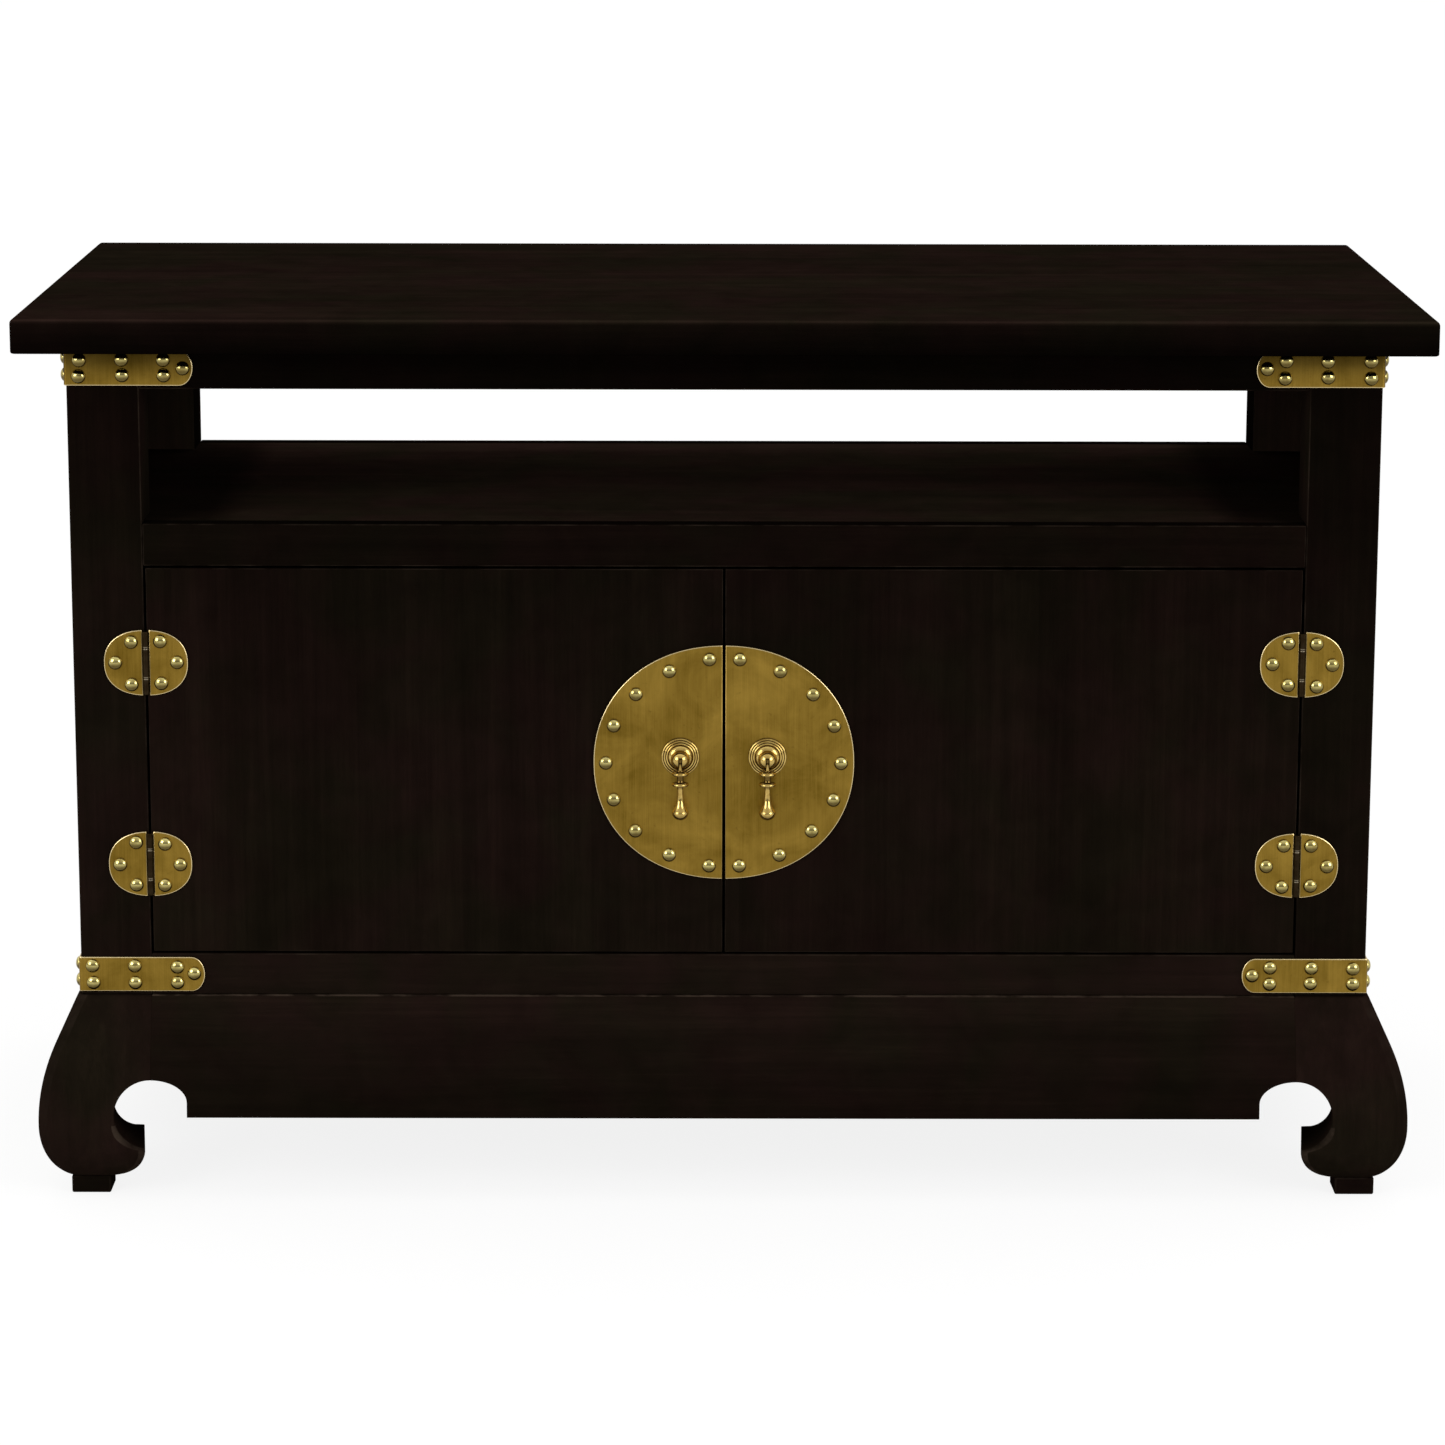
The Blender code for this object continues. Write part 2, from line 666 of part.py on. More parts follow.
def hinge_leaf(name, z, on_door):
    """Half of an oval hinge: a flat leaf with its share of the barrel, nailed by three studs."""
    hand = 1.0 if on_door else -1.0
    clear = BARREL_R + KNUCKLE_GAP
    outline = [(AXIS_X + hand * a, z + h) for a, h in oval(HINGE_A, HINGE_B, HINGE_FULL, clear, 14)]
    piece = along_y(name, outline, SKIN - PLATE_T, SKIN, PLATE)
    inner, outer = KNUCKLE / 2, BARREL_L / 2
    spans = [(z - inner, z + inner)]
    if not on_door:
        spans = [(z - outer, z - inner - KNUCKLE_GAP), (z + inner + KNUCKLE_GAP, z + outer)]
    skim = PLATE_T / 6
    straps, barrels = [], []
    for low, high in spans:
        x0, x1 = sorted((AXIS_X + hand * PIN_R, AXIS_X + hand * (clear + PLATE_T)))
        straps.append(box("strap", (x0, SKIN - PLATE_T + skim, low + skim), (x1, SKIN - skim, high - skim)))
        barrels.append(knuckle(low, high))
    combine(piece, straps, "UNION")
    combine(piece, barrels, "UNION")
    places = []
    for turn in (-HINGE_SPREAD, 0.0, HINGE_SPREAD):
        x = AXIS_X + hand * HINGE_NAIL_OUT * math.cos(turn)
        places.append((x, SKIN - PLATE_T, z + HINGE_NAIL_UP * math.sin(turn)))
    combine(piece, studs(places, (0.0, -1.0, 0.0)), "UNION")
    pin = Matrix.Translation((AXIS_X, AXIS_Y, z))
    combine(piece, [rod("bore", PIN_R + FIT, 2 * BARREL_L, pin, None, PIN_FACETS)], "DIFFERENCE")
    return piece


def face_plate(name):
    """The left half of the oval plate across the doors, nailed round its rim."""
    outline = [(-a, FACE_Z + h) for a, h in oval(FACE_A, FACE_B, FACE_FULL, FACE_GAP / 2, 32)]
    piece = along_y(name, outline, SKIN - FACE_T, SKIN, PLATE)
    combine(piece, [spigot_bore()], "DIFFERENCE")
    ring_a, ring_b = FACE_A - STUD_INSET, FACE_B - STUD_INSET
    places = []
    for k in range(FACE_NAILS):
        turn = FACE_SPREAD * (2 * k / (FACE_NAILS - 1) - 1.0)
        places.append((-ring_a * math.cos(turn), SKIN - FACE_T, FACE_Z + ring_b * math.sin(turn)))
    combine(piece, studs(places, (0.0, -1.0, 0.0)), "UNION")
    return piece


def pull_base(name):
    """A ringed rose with a slotted ball, and a spigot that holds it in the door."""
    seat = FIT - PULL_OUT
    tip = seat - FACE_T - SPIGOT_L
    profile = [(0.0, tip), (SPIGOT_R, tip), (SPIGOT_R, seat), (DISC_R, seat), (DISC_R, seat + RING_H)]
    for k in range(RINGS):
        crest, valley = DISC_R - (2 * k + 1) * RING_W, DISC_R - (2 * k + 2) * RING_W
        rise = seat + RING_H * (1.0 + 0.6 * (k + 1))
        profile += [(crest, rise), (valley, rise - 0.4 * RING_H)]
    profile.append((NECK_R, seat + NECK_OUT))
    join = math.acos(NECK_R / BALL_R)
    for k in range(8):
        turn = (math.pi / 2 + join) * k / 8 - join
        profile.append((BALL_R * math.cos(turn), BALL_R * math.sin(turn)))
    profile.append((0.0, BALL_R))
    place = Matrix.Translation((-PULL_X, BALL_Y, PULL_Z)) @ Matrix.Rotation(math.pi / 2, 4, "X")
    piece = turned(name, profile, place, POLISHED, 20)
    slot = EYE_T / 2 + EYE_GAP
    room = EYE_R + 2 * FIT
    low = (-PULL_X - slot, BALL_Y - 2 * BALL_R, PULL_Z - 2 * BALL_R)
    high = (-PULL_X + slot, BALL_Y + room, PULL_Z + EYE_R / 2 + 2 * FIT)
    combine(piece, [box("slot", low, high)], "DIFFERENCE")
    across = Matrix.Translation((-PULL_X, BALL_Y, PULL_Z)) @ Matrix.Rotation(math.pi / 2, 4, "Y")
    combine(piece, [rod("pocket", room, 2 * slot, across)], "DIFFERENCE")
    combine(piece, [rod("bore", PULL_PIN_R + FIT, 4 * BALL_R, across, None, PIN_FACETS)], "DIFFERENCE")
    smooth(piece)
    return piece


def pull_pin(name):
    """The pin across the ball's slot that the drop hangs on."""
    across = Matrix.Translation((-PULL_X, BALL_Y, PULL_Z)) @ Matrix.Rotation(math.pi / 2, 4, "Y")
    return rod(name, PULL_PIN_R, 2 * (BALL_R - PULL_PIN_R), across, POLISHED, PIN_FACETS)


def pull_drop(name):
    """A turned drop: two collars, a slim stem that swells to a bulb, and an eye on top."""
    z = -DROP_TOP
    profile = [(0.0, z), (WAIST_R - COLLAR_BEVEL, z)]
    z -= COLLAR_BEVEL
    for after in (WAIST_L, 0.0):
        profile += [(WAIST_R, z), (COLLAR_R, z - COLLAR_BEVEL)]
        z -= COLLAR_BEVEL + COLLAR_T
        profile += [(COLLAR_R, z), (WAIST_R, z - COLLAR_BEVEL)]
        z -= COLLAR_BEVEL + after
    for k in range(5):
        share = k / 4
        profile.append((STEM_R + (BULB_R - STEM_R) * share ** STEM_SWELL, z - FIT - (STEM_L - FIT) * share))
    z -= STEM_L
    for k in (1, 2):
        turn = math.pi / 2 * k / 3
        profile.append((BULB_R * math.cos(turn), z - BULB_L * math.sin(turn)))
    profile.append((0.0, -DROP_L))
    centre = Matrix.Translation((-PULL_X, BALL_Y, PULL_Z))
    piece = turned(name, profile, centre, POLISHED)
    across = centre @ Matrix.Rotation(math.pi / 2, 4, "Y")
    half, wide = (EYE_T - FIT) / 2, EYE_R / 2
    low = (-PULL_X - half, BALL_Y - wide, PULL_Z - DROP_TOP - COLLAR_BEVEL / 2)
    high = (-PULL_X + half, BALL_Y + wide, PULL_Z - EYE_R / 2)
    combine(piece, [box("shank", low, high)], "UNION")
    combine(piece, [rod("eye", EYE_R, EYE_T, across)], "UNION")
    combine(piece, [rod("bore", PULL_PIN_R + FIT, 2 * EYE_T, across, None, PIN_FACETS)], "DIFFERENCE")
    smooth(piece)
    return piece


def build_frame():
    """Posts, rails, boards and panels of the upper cabinet."""
    mirrored(post("post_front_left", False), "post_front_right", "X", WOOD)
    mirrored(post("post_back_left", True), "post_back_right", "X", WOOD)
    front_rail("top_rail_front", TOP_RAIL)
    front_rail("top_rail_back", TOP_RAIL, rear=True)
    front_rail("shelf_rail_front", SHELF_RAIL, rebated=True)
    front_rail("shelf_rail_back", SHELF_RAIL, rebated=True, below=True, rear=True)
    front_rail("bottom_rail_front", BASE_RAIL, rebated=True)
    front_rail("bottom_rail_back", BASE_RAIL, rebated=True, above=True, rear=True)
    mirrored(side_rail("top_rail_left", TOP_RAIL, below=True), "top_rail_right", "X", WOOD)
    lower = side_rail("bottom_rail_left", BASE_RAIL, rebated=True, above=True)
    mirrored(lower, "bottom_rail_right", "X", WOOD)
    top_panel()
    shelf("shelf_board", SHELF_Z, False)
    shelf("cabinet_floor", BASE_RAIL[1], True)
    half = PANEL_T / 2
    reach = FRONT + POST - TONGUE
    low = (LEFT + PANEL_SET - half, reach, BASE_RAIL[1] - TONGUE)
    high = (LEFT + PANEL_SET + half, -reach, TOP_RAIL[0] + TONGUE)
    mirrored(box("side_panel_left", low, high, WOOD), "side_panel_right", "X", WOOD)
    low = (INNER - TONGUE, BACK - PANEL_SET - half, BASE_RAIL[1] - TONGUE)
    high = (-INNER + TONGUE, BACK - PANEL_SET + half, SHELF_RAIL[0] + TONGUE)
    box("back_panel", low, high, INNER_WOOD)
    behind = FRONT + RAIL_T + FIT
    low = (INNER + FIT, behind, SHELF_RAIL[0] - STOP_DROP)
    high = (-INNER - FIT, behind + STOP_T, SHELF_Z - SHELF_T)
    box("door_stop", low, high, INNER_WOOD)


def build_stand():
    """Legs, their pads and the aprons between them."""
    for make_piece, word in ((leg, "leg"), (pad, "foot_pad")):
        first = make_piece(word + "_front_left")
        mirrored(first, word + "_front_right", "X", WOOD)
        rear = mirrored(first, word + "_back_left", "Y", WOOD)
        mirrored(rear, word + "_back_right", "X", WOOD)
    front = apron("apron_front", -INNER, FRONT, True)
    mirrored(front, "apron_back", "Y", WOOD)
    side = apron("apron_left", -(FRONT + POST), LEFT, False)
    mirrored(side, "apron_right", "X", WOOD)


def build_brass():
    """Corner brackets on the carcass."""
    for word, (low, high) in (("top", TOP_RAIL), ("bottom", BASE_RAIL)):
        left = bracket("bracket_" + word + "_left", (low + high) / 2)
        mirrored(left, "bracket_" + word + "_right", "X", PLATE)


def build_doors():
    """Both doors with their hinges, face plates and drop pulls, each on its axis."""
    pieces = [door("door_left"), face_plate("face_plate_left")]
    pieces += [pull_base("pull_rose_left"), pull_pin("pull_pin_left")]
    looks = [WOOD, PLATE, POLISHED, POLISHED]
    drop = pull_drop("pull_drop_left")
    for word, z in zip(("lower", "upper"), HINGE_Z):
        fixed = hinge_leaf("hinge_" + word + "_left_post_leaf", z, False)
        moving = hinge_leaf("hinge_" + word + "_left_door_leaf", z, True)
        place = Matrix.Translation((AXIS_X, AXIS_Y, z))
        pin = rod("hinge_" + word + "_left_pin", PIN_R, BARREL_L, place, DARK_METAL, PIN_FACETS)
        mirrored(fixed, fixed.name.replace("left", "right"), "X", PLATE)
        mirrored(pin, pin.name.replace("left", "right"), "X", DARK_METAL)
        pieces.append(moving)
        looks.append(PLATE)
    twins = [mirrored(p, p.name.replace("left", "right"), "X", look) for p, look in zip(pieces, looks)]
    twin_drop = mirrored(drop, "pull_drop_right", "X", POLISHED)
    for word, side, group, hanging in (("left", 1.0, pieces, drop), ("right", -1.0, twins, twin_drop)):
        swing = hold(group, (side * AXIS_X, AXIS_Y, 0.0), "door_axis_" + word)
        hold([hanging], (-side * PULL_X, BALL_Y, PULL_Z), "pull_axis_" + word, swing)


def main():
    """Clears the scene and builds the cabinet."""
    for thing in list(bpy.data.objects):
        bpy.data.objects.remove(thing)
    build_frame()
    build_stand()
    build_brass()
    build_doors()


main()
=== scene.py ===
import math

import bmesh
import bpy
from bpy.props import FloatProperty, FloatVectorProperty, IntProperty, PointerProperty
from mathutils import Matrix, Vector


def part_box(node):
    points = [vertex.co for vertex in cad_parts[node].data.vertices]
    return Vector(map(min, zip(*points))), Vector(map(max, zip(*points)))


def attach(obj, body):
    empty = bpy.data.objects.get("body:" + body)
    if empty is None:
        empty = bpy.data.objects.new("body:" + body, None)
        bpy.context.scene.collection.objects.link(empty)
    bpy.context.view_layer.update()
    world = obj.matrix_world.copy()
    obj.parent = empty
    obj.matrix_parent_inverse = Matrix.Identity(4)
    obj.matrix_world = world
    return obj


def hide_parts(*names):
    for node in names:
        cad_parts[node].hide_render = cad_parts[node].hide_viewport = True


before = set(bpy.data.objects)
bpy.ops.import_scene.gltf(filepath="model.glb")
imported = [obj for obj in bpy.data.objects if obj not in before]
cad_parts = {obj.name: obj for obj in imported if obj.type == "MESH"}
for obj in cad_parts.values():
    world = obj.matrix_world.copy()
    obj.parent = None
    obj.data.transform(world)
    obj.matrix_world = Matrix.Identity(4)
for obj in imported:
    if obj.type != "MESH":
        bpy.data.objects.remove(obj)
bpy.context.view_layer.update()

bl_info = {
    "name": "Scroll-leg television cabinet",
    "version": (1, 0, 0),
    "blender": (4, 5, 0),
    "location": "3D View > Sidebar > Cabinet",
    "description": "Dark wood cabinet with brass fittings, dressed on its packed frame",
    "category": "Add Mesh",
}

POST_LOW, POST_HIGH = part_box("post_front_left")
LEG_LOW, LEG_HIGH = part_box("leg_front_left")
LEFT, FRONT = POST_LOW.x, POST_LOW.y
INNER, POST_BACK = POST_HIGH.x, POST_HIGH.y
POST = INNER - LEFT
STAND_TOP = LEG_HIGH.z
SIDES = (("left", 1.0), ("right", -1.0))


def length(name, about, default):
    """A size in metres that a user may change."""
    return FloatProperty(name=name, description=about, default=default, unit="LENGTH", precision=4)


def angle(name, about, degrees):
    """An angle that a user may change."""
    return FloatProperty(name=name, description=about, default=math.radians(degrees), subtype="ANGLE")


def colour(name, about, default):
    """A finish colour, in linear light."""
    return FloatVectorProperty(
        name=name, description=about, default=default, subtype="COLOR", min=0.0, max=1.0
    )


def millimetres(name, about, default):
    """A size of the camera's own, which Blender counts in millimetres."""
    return FloatProperty(name=name, description=about, default=default, subtype="DISTANCE_CAMERA")


def position(name, about, default):
    """A place in the studio."""
    return FloatVectorProperty(name=name, description=about, default=default, subtype="TRANSLATION")


def number(name, about, default):
    """A plain number that a user may change."""
    return FloatProperty(name=name, description=about, default=default)


def how_many(name, about, default):
    """A whole number that a user may change."""
    return IntProperty(name=name, description=about, default=default)


class CabinetWood(bpy.types.PropertyGroup):
    fit: length("Fit", "Gap left at a joint", 0.0003)
    arris: length("Arris", "Easing of the frame's edges", 0.0009)
    door_ease: length("Door easing", "Easing of a door's edges", 0.0006)
    pad_ease: length("Pad easing", "Easing of a foot pad's edges", 0.0014)
    slab_round: length("Slab rounding", "Rounding of the slab's upper edge", 0.004)
    slab_ease: length("Slab easing", "Easing of the slab's lower edge", 0.0015)
    slab_corner: length("Slab corner", "Rounding of the slab's corners in plan", 0.0048)
    rebate: length("Rebate", "Width of the rebate that a board lies in", 0.008)
    board: length("Board thickness", "Thickness of the shelf and the floor", 0.018)
    board_width: length("Stave width", "Width of the staves that wide boards are glued from", 0.118)
    # Where the painted shade on the posts begins and deepens
    post_fade: length("Post fade", "How far below the bay the posts begin to darken", 0.20)
    post_dim: length("Post dim", "How far below the bay they darken faster", 0.05)
    # Places where the painted reflection on the shelf's top changes
    shelf_knee: length("Shelf knee", "Depth where the shelf's wear evens out, from the middle", -0.05)
    shelf_even: length("Shelf even", "Half width of the shelf's evenly worn part", 0.385)
    shelf_fade: length("Shelf fade", "Half width where that wear has faded", 0.41)


# A shift of 0 and a stain of 1 leave the plain tone; more is lighter and less is darker. Most of these shifts
# paint light and shade into the colour: painted shade under the slab, painted reflections in the bay and on
# the shelf, a painted sheen on the slab's top and painted highlights on worn edges
class CabinetStainAndLight(bpy.types.PropertyGroup):
    # Slab: painted shade darkens its front face towards the lower edge, a painted highlight runs along its
    # rounded edge, and a painted sheen lightens its top
    slab_low: number("Slab low", "Shift of the stain at the slab's lower edge", -0.80)
    slab_face: number("Slab face", "Shift of the stain at the top of the slab's face", -0.45)
    slab_edge_highlight: number("Slab edge", "Shift of the stain on the slab's rubbed edge", 1.8)
    slab_top_sheen: number("Slab top", "Shift of the stain on the slab's top", 0.45)
    # Posts: painted shade, darker towards the slab; the right posts are darker than the left
    post_mid: number("Post middle", "Stain of the posts where they darken faster", 0.8)
    post_bay: number("Post at bay", "Stain of the posts where the bay begins", 0.6)
    post_top: number("Post top", "Stain of the posts under the slab", 0.45)
    post_right: number("Right posts", "Stain of the right posts beside the left ones", 0.77)
    # Painted light: the faces inside the bay are lightened as a painted reflection of the pale background
    # behind
    bay_front: number("Bay, front posts", "Shift of the stain on the front posts inside the bay", 0.4)
    bay_back: number("Bay, back posts", "Shift of the stain on the back posts inside the bay", 6.0)
    bay_panel: number("Bay, panels", "Shift of the stain on the side panels inside the bay", 7.0)
    # Rails: the top rails are darkened as painted shade under the slab; the shelf rails are darker and the
    # bottom rails lighter
    rail_top: number("Top rails", "Shift of the stain on the top rails", -0.66)
    rail_shelf: number("Shelf rails", "Shift of the stain on the shelf rails", -0.35)
    rail_bottom: number("Bottom rails", "Shift of the stain on the bottom rails", 0.47)
    # Shelf: a painted reflection of the pale background, lighter in the middle and at the back, darker at the
    # ends
    shelf_front: number("Shelf front", "Stain of the shelf's top at its front", 3.9)
    shelf_mid: number("Shelf middle", "Stain of the shelf's top where its wear evens out", 6.3)
    shelf_back: number("Shelf back", "Stain of the shelf's top at its back", 6.7)
    shelf_ends: number("Shelf ends", "Stain of the shelf's ends beside its middle", 0.48)
    leg: number("Legs", "Shift of the stain on the legs", 0.45)
    # Leg and toe rubs: partly real wear, partly a painted highlight on the edges, brighter towards the top
    leg_rub_low: number("Leg rub, low", "Wear of a leg's outer corner at the scroll", 0.2)
    leg_rub_mid: number("Leg rub, middle", "Wear of a leg's outer corner above the scroll", 0.5)
    leg_rub_top: number("Leg rub, top", "Wear of a leg's outer corner at its top", 1.2)
    toe_rub_and_sheen: number("Toe rub", "Wear of the edges of a leg's toe", 1.5)
    # Aprons: painted shade, darker towards the lower edge; the upper edge's rub is partly wear, partly a
    # painted highlight
    apron_low: number("Apron low", "Shift of the stain at an apron's lower edge", -0.14)
    apron_top: number("Apron top", "Shift of the stain at an apron's top", 0.42)
    apron_rub: number("Apron rub", "Wear of an apron's upper edge", 2.3)
    # Doors: painted shade, darker towards the top under the slab
    door_low: number("Door low", "Shift of the stain at a door's foot", 0.06)
    door_top: number("Door top", "Shift of the stain at a door's top", -0.27)
    # Top straps: painted shade of the slab, darker towards their upper edge
    strap_low: number("Strap low", "Shift of a top strap's tone at its lower edge", 0.05)
    strap_lower: number("Strap lower", "Shift of a top strap's tone a third of the way up", -0.22)
    strap_upper: number("Strap upper", "Shift of a top strap's tone two thirds of the way up", -0.62)
    strap_top: number("Strap top", "Shift of a top strap's tone under the slab", -0.84)


class CabinetStand(bpy.types.PropertyGroup):
    pad_h: length("Pad height", "Height of the pad under a leg", 0.0145)
    bulge: length("Bulge", "How far the belly stands out of the post", 0.034)
    ledge: length("Ledge", "Ledge of the stand round the post", 0.0035)
    flare: angle("Flare", "Slope of the stand's upper face", 24.7)
    belly_h: length("Belly height", "Height of the belly above the pad", 0.0475)
    foot_a: length("Foot reach", "Half width of the foot's round", 0.036)
    sole_sink: length("Sole sink", "How far the foot's round would run on below the sole", 0.0034)
    scroll_r: length("Scroll radius", "Radius of the round scroll", 0.0292)
    scroll_z: length("Scroll height", "Height of the scroll's middle", 0.0701)
    toe_in: length("Toe tip", "How far the toe stops short of the post's line", 0.005)
    toe_a: length("Toe reach", "Half width of the toe's round", 0.031)
    arris: length("Leg arris", "Rounding of a leg's outer corner", 0.008)
    ease: length("Stand easing", "Easing of the stand's other edges", 0.0013)
    joint: length("Stand joint", "Easing and gap where an apron meets a leg", 0.0001)
    slant: number("Scroll slant", "How far a leg's inner corner is drawn back, as a share of its depth", 0.11)
    toe_ease: length("Toe easing", "Rounding of the edges of a leg's toe", 0.0055)
    apron_t: length("Apron thickness", "Thickness of an apron", 0.026)
    hollow_h: length("Hollow height", "Height of the round over an apron's end", 0.0175)
    hollow_drop: length("Hollow drop", "Straight part below that round", 0.0125)


class CabinetBrass(bpy.types.PropertyGroup):
    plate_t: length("Plate thickness", "Thickness of straps and hinge leaves", 0.0015)
    chamfer: length("Chamfer", "Chamfer round a plate", 0.0009)
    bend: length("Bend", "Outer radius of a strap's bend round the post", 0.0024)
    nail_r: length("Nail radius", "Radius of a domed nail head", 0.0057)
    nail_h: length("Nail height", "Height of a domed nail head", 0.0037)
    nail_sink: length("Nail sink", "How far a nail head sits in its plate", 0.0004)
    nail_stray: length("Nail stray", "How far hand-driven nails stray from their marks", 0.0007)
    strap_l: length("Strap length", "Length of each arm of a corner strap", 0.101)
    strap_h: length("Strap width", "Width of a corner strap", 0.0285)
    strap_end: length("Strap end", "Length of a strap's round end", 0.011)
    nail_edge: length("First nails", "First pair of nails from the corner", 0.010)
    nail_end: length("Last nails", "Last pair of nails from the tip", 0.0245)
    nail_row: length("Nail row", "Half the distance between the nails of a pair", 0.0064)
    nail_inset: length("Nail inset", "Nails in from a plate's rim", 0.0102)
    hinge_a: length("Hinge half width", "Half width of the oval hinge", 0.0333)
    hinge_b: length("Hinge half height", "Half height of the oval hinge", 0.0265)
    hinge_full: number("Hinge fullness", "Exponent of the hinge's oval, 2 for an ellipse", 2.3)
    hinge_nail_x: length("Hinge nail reach", "Nails out from the hinge's axis", 0.024)
    hinge_nail_z: length("Hinge nail rise", "Nails up and down from the hinge's middle", 0.0192)
    hinge_spread: angle("Hinge nail spread", "Angle between a leaf's nails", 62.0)
    barrel_r: length("Barrel radius", "Radius of the hinge's barrel", 0.0022)
    barrel_l: length("Barrel length", "Length of the hinge's barrel", 0.0505)
    knuckle: length("Knuckle", "Length of the middle knuckle", 0.0238)
    knuckle_gap: length("Knuckle gap", "Gap between knuckles", 0.0004)
    bore: length("Bore", "Radius of the hole for the hinge pin", 0.0014)
    face_a: length("Face half width", "Half width of the oval face plate", 0.1035)
    face_b: length("Face half height", "Half height of the oval face plate", 0.0948)
    face_full: number("Face fullness", "Exponent of the face plate's oval, 2 for an ellipse", 2.12)
    face_t: length("Face thickness", "Thickness of the face plate", 0.002)
    face_gap: length("Face gap", "Half the gap between the two halves", 0.0011)
    face_nails: how_many("Face nails", "Nails on each half of the face plate", 9)
    face_spread: angle("Face nail spread", "Angle that a half's nails cover above and below", 82.6)


class CabinetPull(bpy.types.PropertyGroup):
    ball_r: length("Ball radius", "Radius of the slotted ball", 0.0076)
    out: length("Ball out", "Ball's middle out of the plate", 0.0115)
    disc_r: length("Rose radius", "Radius of the ringed rose", 0.0152)
    ring_w: length("Ring width", "Half width of a ring of the rose", 0.0009)
    ring_h: length("Ring height", "Height of a ring of the rose", 0.0010)
    rings: how_many("Rings", "Rings of the rose", 3)
    ring_step: number("Ring step", "Rise from ring to ring, in ring heights", 0.45)
    ring_swell: number("Ring swell", "How far a ring swells out, in ring heights", 0.75)
    ease: length("Pull easing", "Easing of the rose's rim and of its slot", 0.0003)
    dome_foot: angle("Dome foot", "Slope of the rose's dome at its foot", 62.0)
    dome_head: angle("Dome head", "Slope of the rose's dome at the neck", 14.0)
    crease: length("Crease", "Depth of the groove between the dome and the neck", 0.0004)
    neck_r: length("Neck radius", "Radius of the neck behind the ball", 0.0066)
    eye_r: length("Eye radius", "Radius of the drop's eye", 0.004)
    eye_t: length("Eye thickness", "Thickness of the drop's eye", 0.0024)
    eye_gap: length("Eye gap", "Gap beside the eye in its slot", 0.0004)
    eye_ease: length("Eye easing", "Easing of the eye's edges", 0.0004)
    pin_r: length("Pin hole", "Radius of the hole for the cross pin", 0.0015)
    drop_gap: length("Drop gap", "Gap between the ball and the drop", 0.0008)
    collar_r: length("Collar radius", "Radius of the drop's collars", 0.0069)
    collar_t: length("Collar thickness", "Thickness of a collar", 0.0022)
    collar_bevel: length("Collar bevel", "Slope beside a collar", 0.0009)
    waist_r: length("Waist radius", "Radius between the collars", 0.0030)
    waist_l: length("Waist length", "Length between the collars", 0.0046)
    stem_r: length("Stem radius", "Radius at the top of the stem", 0.0022)
    stem_l: length("Stem length", "Length of the swelling stem", 0.0205)
    stem_swell: number("Stem swell", "How late the stem swells", 3.4)
    bulb_r: length("Bulb radius", "Radius of the bulb", 0.0068)
    bulb_l: length("Bulb length", "Length of the bulb below its widest", 0.0066)


class CabinetFinish(bpy.types.PropertyGroup):
    wood_dark: colour("Wood pores", "Darkest streaks of the stained wood", (0.0042, 0.0028, 0.0019))
    wood_mid: colour("Wood", "Main tone of the stained wood", (0.0055, 0.0035, 0.0024))
    wood_light: colour("Wood streaks", "Lighter streaks of the stained wood", (0.0074, 0.0046, 0.0031))
    # Partly real wear, partly a painted highlight on the arrises
    wood_rubbed_and_sheen: colour("Rubbed edges", "Wood where the stain is rubbed thin", (0.0175, 0.0122, 0.0088))
    plate_dark: colour("Brass shade", "Tarnished streaks of the plates", (0.128, 0.075, 0.0075))
    plate_light: colour("Brass", "Brushed brass of the plates", (0.295, 0.185, 0.031))
    nail_brass: colour("Nail brass", "Rubbed brass of the nail heads", (0.56, 0.48, 0.18))
    rim_brass: colour("Rim brass", "Bright brass of the plates' rubbed rims", (0.74, 0.60, 0.33))
    pull_brass: colour("Pull brass", "Polished brass of the pulls", (0.56, 0.40, 0.125))
    barrel: colour("Barrel", "Aged metal of the hinge barrels", (0.024, 0.016, 0.008))
    worn_metal: colour("Worn metal", "Bare metal at the ends of the knuckles", (0.20, 0.17, 0.12))
    floor: colour("Floor", "Pale studio floor", (0.94, 0.94, 0.94))


class CabinetStage(bpy.types.PropertyGroup):
    camera: position("Camera", "Place of the camera", (-0.007, -3.944, 1.168))
    pitch: angle("Pitch", "How far the camera looks down", 11.87)
    yaw: angle("Yaw", "How far the camera looks to the right", 0.09)
    roll: angle("Roll", "Turn of the camera about its view", 0.12)
    lens: millimetres("Lens", "Focal length of the camera", 119.6)
    sensor: millimetres("Sensor", "Width of the camera's sensor", 36.0)
    far: length("Far end", "How far the camera sees", 200.0)
    horizon: number("Horizon", "Brightness of the studio at the horizon", 0.27)
    walls: number("Walls", "Brightness that the walls add at the sides and behind", 0.50)
    walls_from: number("Walls start", "Depth, as a sine, where the walls begin in front", -0.75)
    air: colour("Air", "Tint of the studio's light", (1.0, 0.995, 0.985))
    zenith: number("Zenith", "Brightness that the ceiling adds overhead", 0.60)
    ceiling_low: number("Ceiling start", "Height, as a sine, where the ceiling begins", 0.05)
    ceiling_high: number("Ceiling full", "Height, as a sine, where the ceiling is full", 0.75)
    softbox: length("Softbox", "Side of each square softbox", 1.5)
    softbox_at: position("Softbox place", "Place of the right softbox", (2.25, -2.3, 1.4))
    aim: position("Softbox aim", "Place that both softboxes face", (0.0, -0.2, 0.40))
    power: FloatProperty(
        name="Softbox power", description="Power of each softbox", default=41.0, unit="POWER"
    )
    glow: number("Floor glow", "How far the floor is plain white to the eye, beside its own shade", 0.86)
    floor_r: length("Floor radius", "Radius of the studio floor", 45.0)


